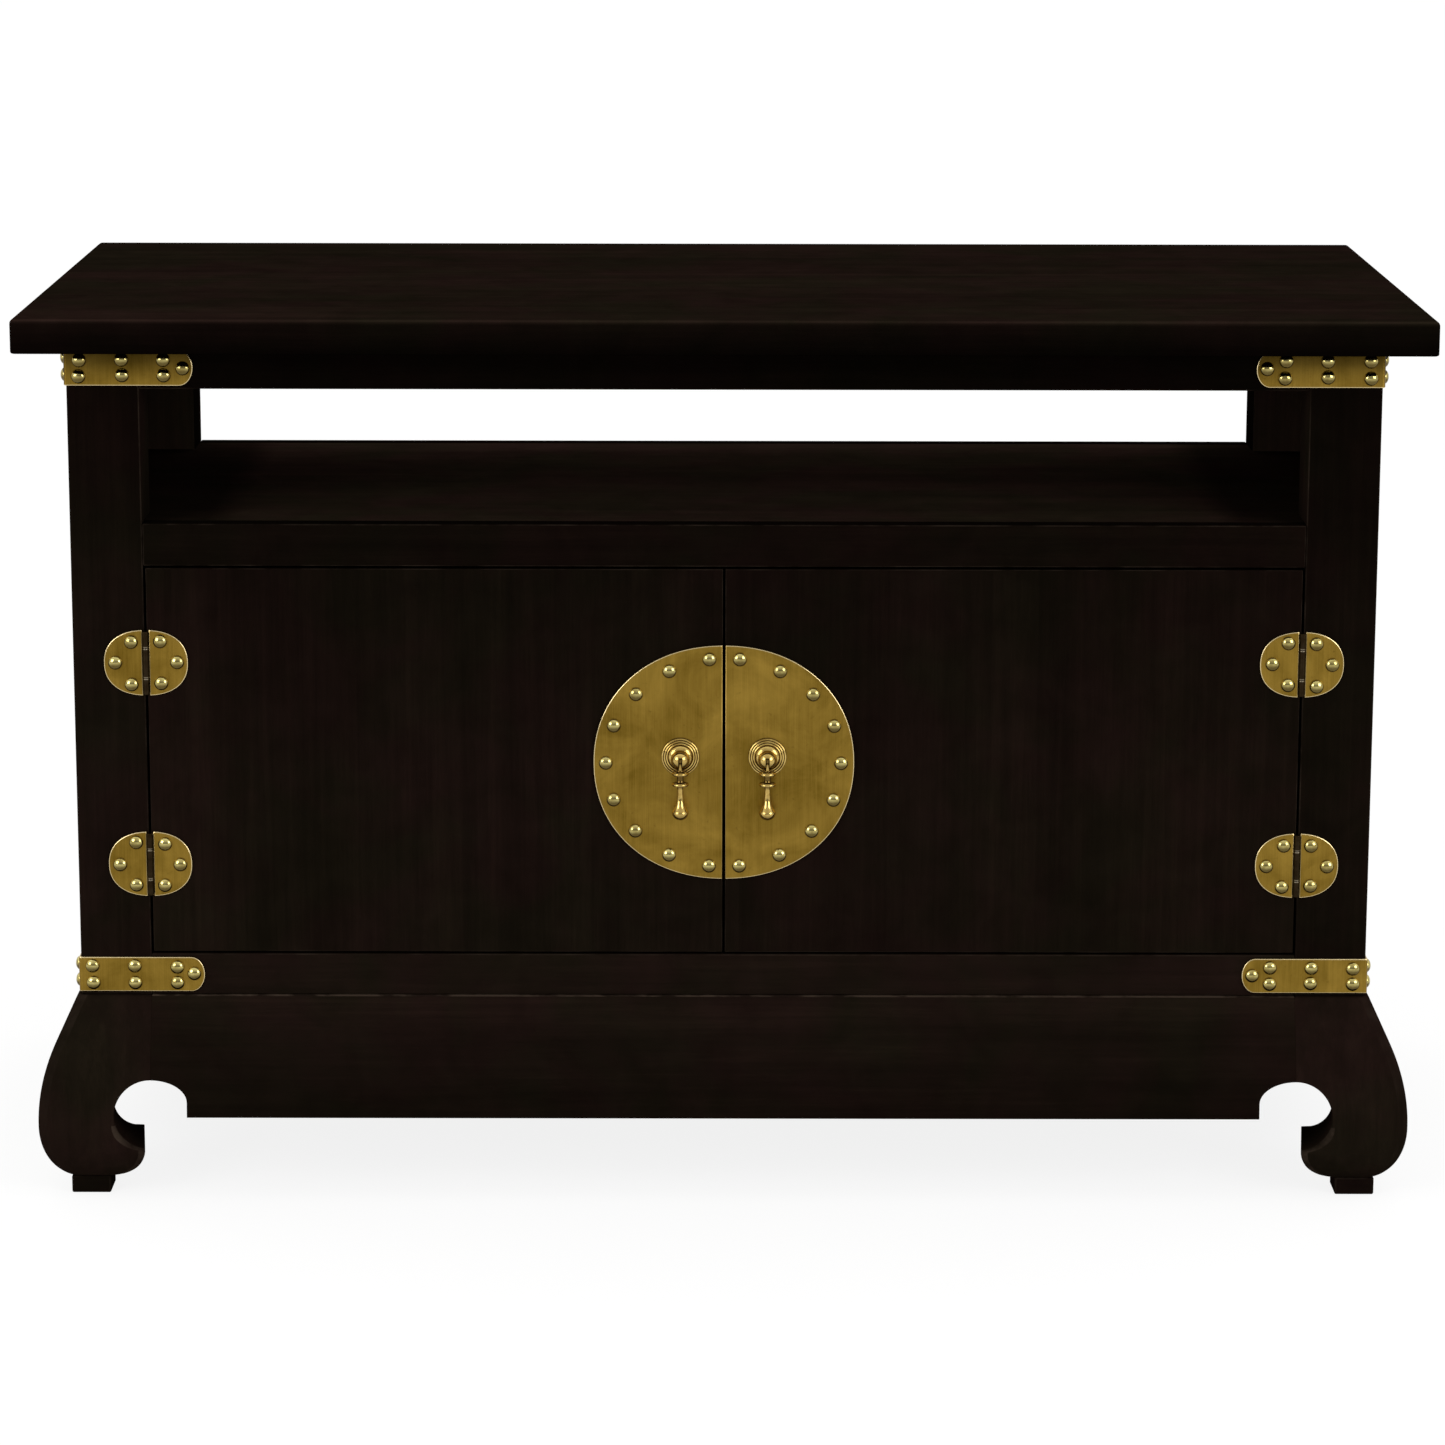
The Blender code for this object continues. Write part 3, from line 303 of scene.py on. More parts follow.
def sizes(group):
    """A group of settings by its short name."""
    return getattr(bpy.context.scene, "cabinet_" + group)


# Meshes
def soften(form, edges, ease, steps=3):
    """Rounds edges and marks the new faces as arrises, where the finish wears; on wood the mark also paints a
    highlight.
    """
    rubbed = form.loops.layers.float.get("arris") or form.loops.layers.float.new("arris")
    made = bmesh.ops.bevel(
        form, geom=edges, offset=ease, offset_type="OFFSET", segments=steps, profile=0.5, affect="EDGES",
        clamp_overlap=True,
    )
    for face in made["faces"]:
        face.smooth = True
        for loop in face.loops:
            loop[rubbed] = 1.0


def block(low, high, ease, steps=3):
    """A board or bar with eased edges."""
    form = bmesh.new()
    bmesh.ops.create_cube(form, size=1.0)
    low, high = Vector(low), Vector(high)
    for vert in form.verts:
        vert.co = [low[i] + (vert.co[i] + 0.5) * (high[i] - low[i]) for i in range(3)]
    soften(form, form.edges[:], ease, steps)
    return form


def prism(section, axis, start, end, ease):
    """A bar of any section along X or Y, its outer edges eased."""
    def point(lengthwise, across, z):
        return (lengthwise, across, z) if axis == "X" else (across, lengthwise, z)

    form = bmesh.new()
    near = [form.verts.new(point(start, a, z)) for a, z in section]
    far = [form.verts.new(point(end, a, z)) for a, z in section]
    form.faces.new(near)
    form.faces.new(reversed(far))
    for i in range(len(section)):
        j = (i + 1) % len(section)
        form.faces.new((near[i], far[i], far[j], near[j]))
    bmesh.ops.recalc_face_normals(form, faces=form.faces[:])
    form.normal_update()
    outer = [e for e in form.edges if e.calc_face_angle_signed(0.0) > 0.5]
    soften(form, outer, ease, steps=2)
    return form


def loft(rings):
    """A closed skin over rings of points: both ends first, then its bands from the first ring on."""
    form = bmesh.new()
    rows = [[form.verts.new(p) for p in ring] for ring in rings]
    count = len(rings[0])
    form.faces.new(rows[0])
    form.faces.new(rows[-1])
    for level in range(len(rows) - 1):
        low, high = rows[level], rows[level + 1]
        for i in range(count):
            j = (i + 1) % count
            form.faces.new((low[i], low[j], high[j], high[i])).smooth = True
    bmesh.ops.recalc_face_normals(form, faces=form.faces[:])
    return form


def bands(form, count, chosen):
    """Some of the bands that run up a loft, by their places in each group of count."""
    form.faces.ensure_lookup_table()
    return [face for i, face in enumerate(form.faces[2:]) if i % count in chosen]


def turned(profile, place, facets=48, grooves=(), bared=()):
    """A turned form about its local Z, from points (radius, height).

    grooves names points that hold grime, bared names points that are worn to bare metal.
    """
    form = bmesh.new()
    grime = form.verts.layers.float.new("grime")
    rows = []
    for row, (radius, height) in enumerate(profile):
        count = facets if radius > 1e-7 else 1
        ring = []
        for k in range(count):
            turn = 2.0 * math.pi * k / facets
            vert = form.verts.new(place @ Vector((radius * math.cos(turn), radius * math.sin(turn), height)))
            vert[grime] = 1.0 if row in grooves else -1.0 if row in bared else 0.0
            ring.append(vert)
        rows.append(ring)
    pairs = list(zip(rows, rows[1:]))
    if len(rows[0]) > 1 and len(rows[-1]) > 1:
        pairs.append((rows[-1], rows[0]))
    for low, high in pairs:
        for k in range(facets):
            j = (k + 1) % facets
            if len(low) == 1:
                corners = (low[0], high[j], high[k])
            elif len(high) == 1:
                corners = (low[k], low[j], high[0])
            else:
                corners = (low[k], low[j], high[j], high[k])
            form.faces.new(corners).smooth = True
    bmesh.ops.recalc_face_normals(form, faces=form.faces[:])
    return form


# Length past which a stretch of rim counts as straight, and a rim's section as (inset, drop) in chamfers
LONG = 0.03
RIM = ((0.0, 1.0), (0.2, 0.45), (0.5, 0.13), (0.9, 0.0))


def sheet_metal(loop, place, thickness, chamfer, straight=1.0):
    """A plate from a loop of points at any inset, symmetric about its first point; its rim is rounded over.

    straight is the wear of a rim's long straight stretch.
    """
    form = bmesh.new()
    layer = form.loops.layers.float.new("arris")
    rings = [[form.verts.new(place(a, h, 0.0)) for a, h in loop(0.0)]]
    for inset, drop in RIM:
        points = loop(inset * chamfer)
        rings.append([form.verts.new(place(a, h, thickness - drop * chamfer)) for a, h in points])
    count = len(rings[0])
    for level in range(len(rings) - 1):
        low, high = rings[level], rings[level + 1]
        for i in range(count):
            j = (i + 1) % count
            band = form.faces.new((low[i], low[j], high[j], high[i]))
            band.smooth = level > 0
            wear = straight if (low[i].co - low[j].co).length > LONG else 1.0
            for corner in band.loops:
                corner[layer] = wear if level > 0 else 0.0
    for ring in (rings[0], rings[-1]):
        for i in range((count + 1) // 2):
            places = (i, (i + 1) % count, (count - i - 1) % count, (count - i) % count)
            corners = [ring[k] for k in dict.fromkeys(places)]
            if len(corners) > 2:
                form.faces.new(corners)
    bmesh.ops.recalc_face_normals(form, faces=form.faces[:])
    return form


def opposite(form, across_x, across_y=1.0):
    """The same form on the other hand."""
    other = form.copy()
    for vert in other.verts:
        vert.co.x *= across_x
        vert.co.y *= across_y
    if across_x * across_y < 0.0:
        bmesh.ops.reverse_faces(other, faces=other.faces[:])
    return other


def join(forms):
    """Several forms as the one mesh of a piece."""
    whole = bmesh.new()
    for form in forms:
        mesh = bpy.data.meshes.new("part")
        form.to_mesh(mesh)
        form.free()
        whole.from_mesh(mesh)
        bpy.data.meshes.remove(mesh)
    return whole


def carve(form, tools, operation):
    """Cuts tools out of a form, or joins them to it."""
    things = []
    for part in (form, join(tools)):
        mesh = bpy.data.meshes.new("carve")
        part.to_mesh(mesh)
        part.free()
        thing = bpy.data.objects.new("carve", mesh)
        bpy.context.scene.collection.objects.link(thing)
        things.append(thing)
    change = things[0].modifiers.new("carve", "BOOLEAN")
    change.operation = operation
    change.solver = "EXACT"
    change.object = things[1]
    graph = bpy.context.evaluated_depsgraph_get()
    mesh = bpy.data.meshes.new_from_object(things[0].evaluated_get(graph))
    result = bmesh.new()
    result.from_mesh(mesh)
    for thing in things:
        bpy.data.objects.remove(thing)
    bpy.data.meshes.remove(mesh)
    return result


def along(value, stops):
    """A level between stops, each a place and its level."""
    for (low, first), (high, last) in zip(stops, stops[1:]):
        if value <= high:
            return first + (last - first) * max(0.0, (value - low) / (high - low))
    return stops[-1][1]


def marked(form, name, level, chosen=None):
    """Writes a level on the corners of some faces, or of all; the level may depend on the place."""
    layer = form.loops.layers.float.get(name) or form.loops.layers.float.new(name)
    for face in form.faces if chosen is None else chosen:
        for loop in face.loops:
            loop[layer] = level(loop.vert.co) if callable(level) else level
    return form


def stained(form, level, chosen=None):
    """Marks how much lighter or darker some faces, or all, are: in part the stain, mostly painted light and
    shade.
    """
    return marked(form, "stain_and_light", level, chosen)


def looking(faces, way):
    """The faces that look mainly one way."""
    return [face for face in faces if face.normal.dot(Vector(way)) > 0.5]


def split_at(form, axis, places):
    """Adds edges round a form where planes across an axis cut it."""
    for place in places:
        point, way = [0.0, 0.0, 0.0], [0.0, 0.0, 0.0]
        point[axis], way[axis] = place, 1.0
        geometry = form.verts[:] + form.edges[:] + form.faces[:]
        bmesh.ops.bisect_plane(form, geom=geometry, plane_co=point, plane_no=way)
    return form


def settle(form, name, body, surface, nodes, sharp=None):
    """Turns a form into a finished piece that rides on its body and stands for its CAD nodes.

    Each piece gets a tone between -1 and 1 that its name fixes.
    """
    tone = form.verts.layers.float.get("tone") or form.verts.layers.float.new("tone")
    shade = (sum(ord(letter) * (i + 3) for i, letter in enumerate(name)) % 23) / 11.0 - 1.0
    for vert in form.verts:
        vert[tone] = shade
    mesh = bpy.data.meshes.new(name)
    form.to_mesh(mesh)
    form.free()
    if sharp is not None:
        mesh.shade_smooth()
        mesh.set_sharp_from_angle(angle=math.radians(sharp))
    mesh.materials.clear()
    mesh.materials.append(surface)
    return place_piece(mesh, name, body, nodes)


def place_piece(mesh, name, body, nodes=()):
    """Puts a finished mesh in the scene as a piece of the cabinet."""
    piece = bpy.data.objects.new(name, mesh)
    bpy.context.scene.collection.objects.link(piece)
    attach(piece, body)
    if nodes:
        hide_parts(*nodes)
    return piece


def dress(nodes, surface):
    """Gives CAD nodes that keep their shape their finish."""
    for name in nodes:
        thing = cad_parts[name]
        if not thing.material_slots:
            thing.data.materials.append(surface)
        for place in thing.material_slots:
            place.material = surface


# Finishes
def add(tree, kind, feeds=None, **settings):
    """A node with its settings, and its inputs linked or set."""
    made = tree.nodes.new(kind)
    for key, value in settings.items():
        setattr(made, key, value)
    for key, value in (feeds or {}).items():
        if isinstance(value, bpy.types.NodeSocket):
            tree.links.new(value, made.inputs[key])
        else:
            made.inputs[key].default_value = value
    return made


def math_node(tree, operation, *values):
    """The output of a math node on sockets or numbers."""
    return add(tree, "ShaderNodeMath", dict(enumerate(values)), operation=operation).outputs[0]


def mix_colour(tree, factor, first, second):
    """The output of a mix of two colours."""
    feeds = {0: factor, 6: first, 7: second}
    return add(tree, "ShaderNodeMix", feeds, data_type="RGBA").outputs[2]


def scaled(tree, vector, factor):
    """A vector or colour times a number."""
    feeds = {0: vector, "Scale": factor}
    return add(tree, "ShaderNodeVectorMath", feeds, operation="SCALE").outputs[0]


def vector_node(tree, operation, first, second):
    """The output of a vector math node on two vectors or colours."""
    return add(tree, "ShaderNodeVectorMath", {0: first, 1: second}, operation=operation).outputs[0]


def weighted(tree, *parts):
    """A sum of values, each by its share."""
    (first, share), *others = parts
    total = math_node(tree, "MULTIPLY", first, share)
    for value, share in others:
        total = math_node(tree, "MULTIPLY_ADD", value, share, total)
    return total


def spread(tree, value, source, target, **settings):
    """A value moved from one range to another."""
    feeds = {"Value": value, "From Min": source[0], "From Max": source[1]}
    feeds |= {"To Min": target[0], "To Max": target[1]}
    return add(tree, "ShaderNodeMapRange", feeds, **settings).outputs[0]


def streaks(tree, coords, scale, detail, rough, twist=0.0):
    """Noise drawn out by a scale along each axis."""
    stretched = add(tree, "ShaderNodeMapping", {"Vector": coords, "Scale": scale}).outputs[0]
    feeds = {"Vector": stretched, "Scale": 1.0, "Detail": detail, "Roughness": rough, "Distortion": twist}
    return add(tree, "ShaderNodeTexNoise", feeds).outputs["Fac"]


def ramp(tree, value, stops):
    """A colour ramp through (place, colour) stops."""
    made = add(tree, "ShaderNodeValToRGB", {"Fac": value})
    band = made.color_ramp
    while len(band.elements) < len(stops):
        band.elements.new(1.0)
    for element, (place, tint) in zip(band.elements, stops):
        element.position = place
        element.color = opaque(tint)
    return made.outputs["Color"]


def opaque(tint):
    """A colour with full alpha."""
    return (*tint, 1.0)


def new_material(name):
    """A named material with its tree, its shader and its coordinates."""
    surface = bpy.data.materials.new(name)
    surface.use_nodes = True
    tree = surface.node_tree
    shader = next(n for n in tree.nodes if n.type == "BSDF_PRINCIPLED")
    coords = add(tree, "ShaderNodeTexCoord").outputs["Object"]
    return surface, tree, shader, coords


def attribute(tree, name):
    """A number that the piece's own mesh carries."""
    return add(tree, "ShaderNodeAttribute", attribute_name=name).outputs["Fac"]


def bump(tree, shader, height, strength, depth):
    """Fine relief on a surface."""
    feeds = {"Height": height, "Strength": strength, "Distance": depth}
    tree.links.new(add(tree, "ShaderNodeBump", feeds).outputs[0], shader.inputs["Normal"])


def dark_wood(grain):
    """Open-grained wood, stained nearly black, its grain along one axis."""
    name = "espresso_wood_" + grain
    if name in bpy.data.materials:
        return bpy.data.materials[name]
    look = sizes("finish")
    surface, tree, shader, coords = new_material(name)
    tone = attribute(tree, "tone")
    moved = vector_node(tree, "ADD", coords, scaled(tree, (3.7, 5.1, 2.3), tone))

    def drawn(across, lengthwise, detail, rough, twist=0.0):
        scale = [lengthwise if axis == grain else across for axis in "XYZ"]
        return streaks(tree, moved, scale, detail, rough, twist)

    figure = drawn(across=17.0, lengthwise=1.1, detail=4.0, rough=0.55, twist=1.4)
    lines = drawn(across=165.0, lengthwise=3.2, detail=3.0, rough=0.60, twist=0.5)
    pores = drawn(across=820.0, lengthwise=26.0, detail=2.0, rough=0.50)
    blend = weighted(tree, (figure, 0.46), (lines, 0.34), (pores, 0.20))
    stain_and_light = ramp(tree, blend, ((0.36, look.wood_dark), (0.52, look.wood_mid), (0.68, look.wood_light)))
    split = add(tree, "ShaderNodeSeparateXYZ", {0: moved}).outputs["Y" if grain == "X" else "X"]
    stave = math_node(tree, "FLOOR", math_node(tree, "DIVIDE", split, sizes("wood").board_width))
    chance = add(tree, "ShaderNodeTexWhiteNoise", {"W": stave}, noise_dimensions="1D").outputs["Value"]
    level = spread(tree, chance, (0.0, 1.0), (0.93, 1.07))
    level = math_node(tree, "MULTIPLY", level, math_node(tree, "MULTIPLY_ADD", tone, 0.06, 1.0))
    blotch = streaks(tree, moved, (26.0, 26.0, 26.0), detail=4.0, rough=0.62, twist=0.5)
    level = math_node(tree, "MULTIPLY", level, spread(tree, blotch, (0.3, 0.7), (0.84, 1.16)))
    # Painted light and shade: the piece's own shift darkens it under the slab and lightens it in the bay and
    # on the shelf, along with real differences of stain
    level = math_node(tree, "MULTIPLY", level, math_node(tree, "ADD", attribute(tree, "stain_and_light"), 1.0))
    drift = streaks(tree, moved, (9.0, 9.0, 9.0), detail=3.0, rough=0.6, twist=0.4)
    hue = ramp(tree, drift, ((0.38, (0.90, 1.03, 0.92)), (0.62, (1.12, 0.96, 1.08))))
    toned = scaled(tree, vector_node(tree, "MULTIPLY", stain_and_light, hue), level)
    # Worn arrises show lighter wood: partly real wear, partly a painted highlight along the edges
    patchy = streaks(tree, coords, (34.0, 34.0, 34.0), detail=4.0, rough=0.6)
    rub_and_sheen = attribute(tree, "arris")
    worn = math_node(tree, "MULTIPLY", rub_and_sheen, spread(tree, patchy, (0.42, 0.66), (0.05, 0.75)))
    bare = scaled(tree, look.wood_rubbed_and_sheen, math_node(tree, "MAXIMUM", rub_and_sheen, 1.0))
    shown = mix_colour(tree, worn, toned, bare)
    tree.links.new(shown, shader.inputs["Base Color"])
    open_grain = math_node(tree, "MULTIPLY_ADD", pores, 0.6, figure)
    gloss = spread(tree, open_grain, (0.5, 1.1), (0.58, 0.72))
    tree.links.new(gloss, shader.inputs["Roughness"])
    shader.inputs["Specular IOR Level"].default_value = 0.0
    relief = math_node(tree, "MULTIPLY_ADD", lines, 0.35, pores)
    bump(tree, shader, relief, strength=0.16, depth=0.0005)
    return surface


def brushed_brass():
    """Old brass sheet, brushed up and down, its chamfers rubbed bright."""
    name = "brushed_brass"
    if name in bpy.data.materials:
        return bpy.data.materials[name]
    look = sizes("finish")
    surface, tree, shader, coords = new_material(name)
    brush = streaks(tree, coords, (1500.0, 1500.0, 22.0), detail=3.0, rough=0.65)
    broad = streaks(tree, coords, (210.0, 210.0, 9.0), detail=3.0, rough=0.6)
    cloud = streaks(tree, coords, (22.0, 22.0, 22.0), detail=5.0, rough=0.62, twist=0.6)
    spots = streaks(tree, coords, (260.0, 260.0, 260.0), detail=2.0, rough=0.5)
    blend = weighted(tree, (brush, 0.26), (broad, 0.16), (cloud, 0.58))
    sheet = ramp(tree, blend, ((0.34, look.plate_dark), (0.66, look.plate_light)))
    fleck = spread(tree, spots, (0.68, 0.80), (0.0, 0.35))
    stale = [part * 0.55 for part in look.plate_dark]
    aged_and_shaded = mix_colour(tree, fleck, sheet, opaque(stale))
    # Painted shade: the top straps darken towards the slab above them
    aged_and_shaded = scaled(tree, aged_and_shaded, math_node(tree, "ADD", attribute(tree, "stain_and_light"), 1.0))
    rim = attribute(tree, "arris")
    shown = mix_colour(tree, math_node(tree, "MULTIPLY", rim, 0.85), aged_and_shaded, opaque(look.rim_brass))
    tree.links.new(shown, shader.inputs["Base Color"])
    shader.inputs["Metallic"].default_value = 1.0
    rough = spread(tree, brush, (0.25, 0.75), (0.30, 0.46))
    rough = math_node(tree, "MULTIPLY_ADD", rim, -0.12, rough)
    tree.links.new(rough, shader.inputs["Roughness"])
    relief = math_node(tree, "MULTIPLY_ADD", broad, 0.5, brush)
    bump(tree, shader, relief, strength=0.10, depth=0.0003)
    return surface


# What is left of a metal's colour where it is dull, and where grime lies on it and where shade is painted on
# it
DULL = (0.62, 0.56, 0.46)
GRIMED_AND_SHADED = (0.16, 0.13, 0.10)


def dimmed(tint, shares):
    """A colour with each of its parts taken down."""
    return [part * share for part, share in zip(tint, shares)]


def rubbed_metal(name, tint, smooth, rough):
    """Turned or cast metal, polished by hands and duller in patches."""
    if name in bpy.data.materials:
        return bpy.data.materials[name]
    surface, tree, shader, coords = new_material(name)
    cloud = streaks(tree, coords, (160.0, 160.0, 160.0), detail=4.0, rough=0.6, twist=0.4)
    fine = streaks(tree, coords, (2400.0, 2400.0, 900.0), detail=2.0, rough=0.5)
    clean = ramp(tree, cloud, ((0.34, dimmed(tint, DULL)), (0.60, tint)))
    # Grime in the grooves, and painted shade on undersides and round the nail heads' feet
    marks = attribute(tree, "grime")
    grime = spread(tree, marks, (0.1, 1.0), (0.0, 0.92))
    shown = mix_colour(tree, grime, clean, opaque(dimmed(tint, GRIMED_AND_SHADED)))
    bared = spread(tree, marks, (-1.0, -0.2), (0.8, 0.0))
    shown = mix_colour(tree, bared, shown, opaque(sizes("finish").worn_metal))
    tree.links.new(shown, shader.inputs["Base Color"])
    shader.inputs["Metallic"].default_value = 1.0
    gloss = spread(tree, cloud, (0.3, 0.7), (rough, smooth))
    gloss = math_node(tree, "MULTIPLY_ADD", fine, 0.06, gloss)
    tree.links.new(gloss, shader.inputs["Roughness"])
    bump(tree, shader, fine, strength=0.05, depth=0.0002)
    return surface


def nail_brass():
    """Bright brass of the nail heads."""
    return rubbed_metal("nail_brass", sizes("finish").nail_brass, smooth=0.07, rough=0.13)


def pull_brass():
    """Polished brass of the pulls."""
    return rubbed_metal("pull_brass", sizes("finish").pull_brass, smooth=0.08, rough=0.17)


def barrel_metal():
    """Darkened metal of the hinges' barrels and pins."""
    return rubbed_metal("barrel_metal", sizes("finish").barrel, smooth=0.30, rough=0.46)


def floor_paint():
    """Matt white paint with a faint roller texture, that keeps only part of a shadow to the eye."""
    surface, tree, shader, coords = new_material("floor_paint")
    tint = sizes("finish").floor
    cloud = streaks(tree, coords, (0.7, 0.7, 0.7), detail=3.0, rough=0.5)
    greyer = [part * 0.985 for part in tint]
    shown = ramp(tree, cloud, ((0.2, greyer), (0.8, tint)))
    tree.links.new(shown, shader.inputs["Base Color"])
    shader.inputs["Roughness"].default_value = 0.95
    shader.inputs["Specular IOR Level"].default_value = 0.0
    path = add(tree, "ShaderNodeLightPath").outputs
    seen = math_node(tree, "MAXIMUM", path["Is Camera Ray"], path["Is Glossy Ray"])
    seen = math_node(tree, "MAXIMUM", seen, path["Is Transmission Ray"])
    share = math_node(tree, "MULTIPLY", seen, sizes("stage").glow)
    feeds = {"Color": opaque((1.0, 1.0, 1.0)), "Strength": 1.0}
    white = add(tree, "ShaderNodeEmission", feeds).outputs[0]
    both = add(tree, "ShaderNodeMixShader", {0: share, 1: shader.outputs[0], 2: white}).outputs[0]
    end = next(n for n in tree.nodes if n.type == "OUTPUT_MATERIAL")
    tree.links.new(both, end.inputs["Surface"])
    return surface


# Stand curves
def bulge_at(z):
    """How far the stand's outer face stands out of the post's face at a height."""
    stand = sizes("stand")
    belly = stand.pad_h + stand.belly_h
    rise = math.tan(stand.flare)
    drop = (STAND_TOP - belly) * rise - (stand.bulge - stand.ledge)
    radius = drop / (math.sin(stand.flare) * rise - 1.0 + math.cos(stand.flare))
    if z >= belly + radius * math.sin(stand.flare):
        return stand.ledge + (STAND_TOP - z) * rise
    if z >= belly:
        return stand.bulge - radius + math.sqrt(radius ** 2 - (z - belly) ** 2)
    fall = (belly - z) / (stand.belly_h + stand.sole_sink)
    return stand.bulge - stand.foot_a + stand.foot_a * math.sqrt(1.0 - fall ** 2)


def toe_top():
    """Height of the toe's tip, where the scroll's round ends."""
    stand = sizes("stand")
    return stand.scroll_z - math.sqrt(stand.scroll_r ** 2 - stand.toe_in ** 2)


def scroll_at(z):
    """The leg's inner face at a height: straight, then the round scroll, then the toe's sole."""
    stand = sizes("stand")
    tip = toe_top()
    if z >= stand.scroll_z + stand.scroll_r:
        return -POST
    if z >= tip:
        return -POST + math.sqrt(stand.scroll_r ** 2 - (z - stand.scroll_z) ** 2)
    fall = min(1.0, (tip - z) / (tip - stand.pad_h))
    return -POST + stand.toe_in + stand.toe_a * (1.0 - math.sqrt(1.0 - fall ** 2))


def eased(corners, radii, steps):
    """A polygon with every corner rounded, each by its own amount."""
    points = []
    count = len(corners)
    for i, radius in enumerate(radii):
        corner = Vector(corners[i])
        first = corner + (Vector(corners[i - 1]) - corner).normalized() * radius
        last = corner + (Vector(corners[(i + 1) % count]) - corner).normalized() * radius
        for k in range(steps + 1):
            t = k / steps
            points.append(first * (1 - t) ** 2 + corner * (2 * t * (1 - t)) + last * t ** 2)
    return points


class PieceOperator:
    """What all the piece operators share."""
    bl_options = {"REGISTER", "UNDO"}


class CABINET_OT_slab(PieceOperator, bpy.types.Operator):
    """The top slab, rounded over along its upper edge"""
    bl_idname = "cabinet.slab"
    bl_label = "Top slab"

    def execute(self, context):
        wood, tone = sizes("wood"), sizes("stain_and_light")
        low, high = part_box("top_panel")
        steps = 6
        ease, drop = wood.slab_ease, wood.slab_round
        profile = [(ease, low.z), (ease * 0.3, low.z + ease * 0.3), (0.0, low.z + ease)]
        for k in range(steps + 1):
            turn = math.pi / 2 * k / steps
            profile.append((drop * (1 - math.cos(turn)), high.z - drop * (1 - math.sin(turn))))
        rings = []
        for inset, z in profile:
            radius = wood.slab_corner - inset
            x, y = high.x - inset - radius, high.y - inset - radius
            ring = []
            for sx, sy, start in ((1, 1, 0), (-1, 1, 90), (-1, -1, 180), (1, -1, 270)):
                for k in range(steps):
                    turn = math.radians(start + 90.0 * k / (steps - 1))
                    ring.append((sx * x + radius * math.cos(turn), sy * y + radius * math.sin(turn), z))
            rings.append(ring)
        # Painted shade darkens the front face towards its lower edge, a painted highlight runs along the
        # rounded edge, and a painted sheen lightens the top
        shoulder, crest = high.z - 0.55 * drop, high.z - 0.2 * drop
        edge = (
            (low.z, tone.slab_low), (high.z - drop, tone.slab_face), (shoulder, 0.0),
            (crest, tone.slab_edge_highlight), (high.z, tone.slab_top_sheen),
        )
        form = stained(loft(rings), lambda p: along(p.z, edge))
        settle(form, "top_slab", "cabinet", dark_wood("X"), ["top_panel"], sharp=40.0)
        return {"FINISHED"}


class CABINET_OT_posts(PieceOperator, bpy.types.Operator):
    """The four posts, their arrises eased, darker towards the slab and to the right"""
    bl_idname = "cabinet.posts"
    bl_label = "Posts"

    def execute(self, context):
        wood, tone = sizes("wood"), sizes("stain_and_light")
        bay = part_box("shelf_rail_front")[1].z
        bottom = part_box("bottom_rail_front")[0].z
        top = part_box("top_rail_front")[1].z
        fade, dim = bay - wood.post_fade, bay - wood.post_dim
        # Painted shade: the posts darken towards the slab, and the right posts are darker
        shade = ((fade, 1.0), (dim, tone.post_mid), (bay, tone.post_bay), (top, tone.post_top))
        for depth in ("front", "back"):
            for side, sx in SIDES:
                took = tone.post_right if side == "right" else 1.0
                node = f"post_{depth}_{side}"
                low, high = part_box(node)
                low.z, high.z = bottom, top
                form = split_at(block(low, high, wood.arris), 2, (fade, dim, bay))
                stained(form, lambda p: took * along(p.z, shade) - 1.0)
                wall = min(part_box("side_panel_" + side), key=lambda corner: abs(corner.x)).x
                split_at(form, 0, (wall,))
                bare = [f for f in form.faces if abs(f.calc_center_median().x) < abs(wall)]
                bare = [f for f in bare if f.calc_center_median().z > bay]
                # Painted light: the faces open to the bay are lightened as a painted reflection of the pale
                # background
                if depth == "back":
                    stained(form, tone.bay_back, looking(bare, (0.0, -1.0, 0.0)))
                else:
                    stained(form, tone.bay_front, looking(bare, (sx, 0.0, 0.0)))
                settle(form, f"frame_{node}", "cabinet", dark_wood("Z"), [node])
        return {"FINISHED"}


class CABINET_OT_rails(PieceOperator, bpy.types.Operator):
    """The rails between the posts, some rebated for a board"""
    bl_idname = "cabinet.rails"
    bl_label = "Rails"

    def execute(self, context):
        wood, tone = sizes("wood"), sizes("stain_and_light")
        # The top rails are darkened as painted shade under the slab; the shelf rails are darker and the
        # bottom rails lighter
        rows = (("top", tone.rail_top), ("shelf", tone.rail_shelf), ("bottom", tone.rail_bottom))
        for row, stain_and_light in rows:
            for side in ("front", "back", "left", "right"):
                node = f"{row}_rail_{side}"
                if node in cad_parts:
                    self.rail(wood, node, side, row != "top", stain_and_light)
        return {"FINISHED"}

    def rail(self, wood, node, side, rebated, stain_and_light):
        """One rail, between the posts that it is tenoned into."""
        low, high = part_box(node)
        across = side in ("front", "back")
        near, far = (low.y, high.y) if across else (low.x, high.x)
        outer, inner = (near, far) if side in ("front", "left") else (far, near)
        turn = 1.0 if inner > outer else -1.0
        section = [(outer, low.z), (inner, low.z)]
        if rebated:
            ledge, wall = high.z - wood.board, inner - turn * wood.rebate
            section += [(inner, ledge), (wall, ledge), (wall, high.z)]
        else:
            section.append((inner, high.z))
        section.append((outer, high.z))
        end = -INNER - wood.fit if across else -POST_BACK - wood.fit
        form = stained(prism(section, "X" if across else "Y", -end, end, wood.arris), stain_and_light)
        grain = dark_wood("X" if across else "Y")
        settle(form, f"frame_{node}", "cabinet", grain, [node])


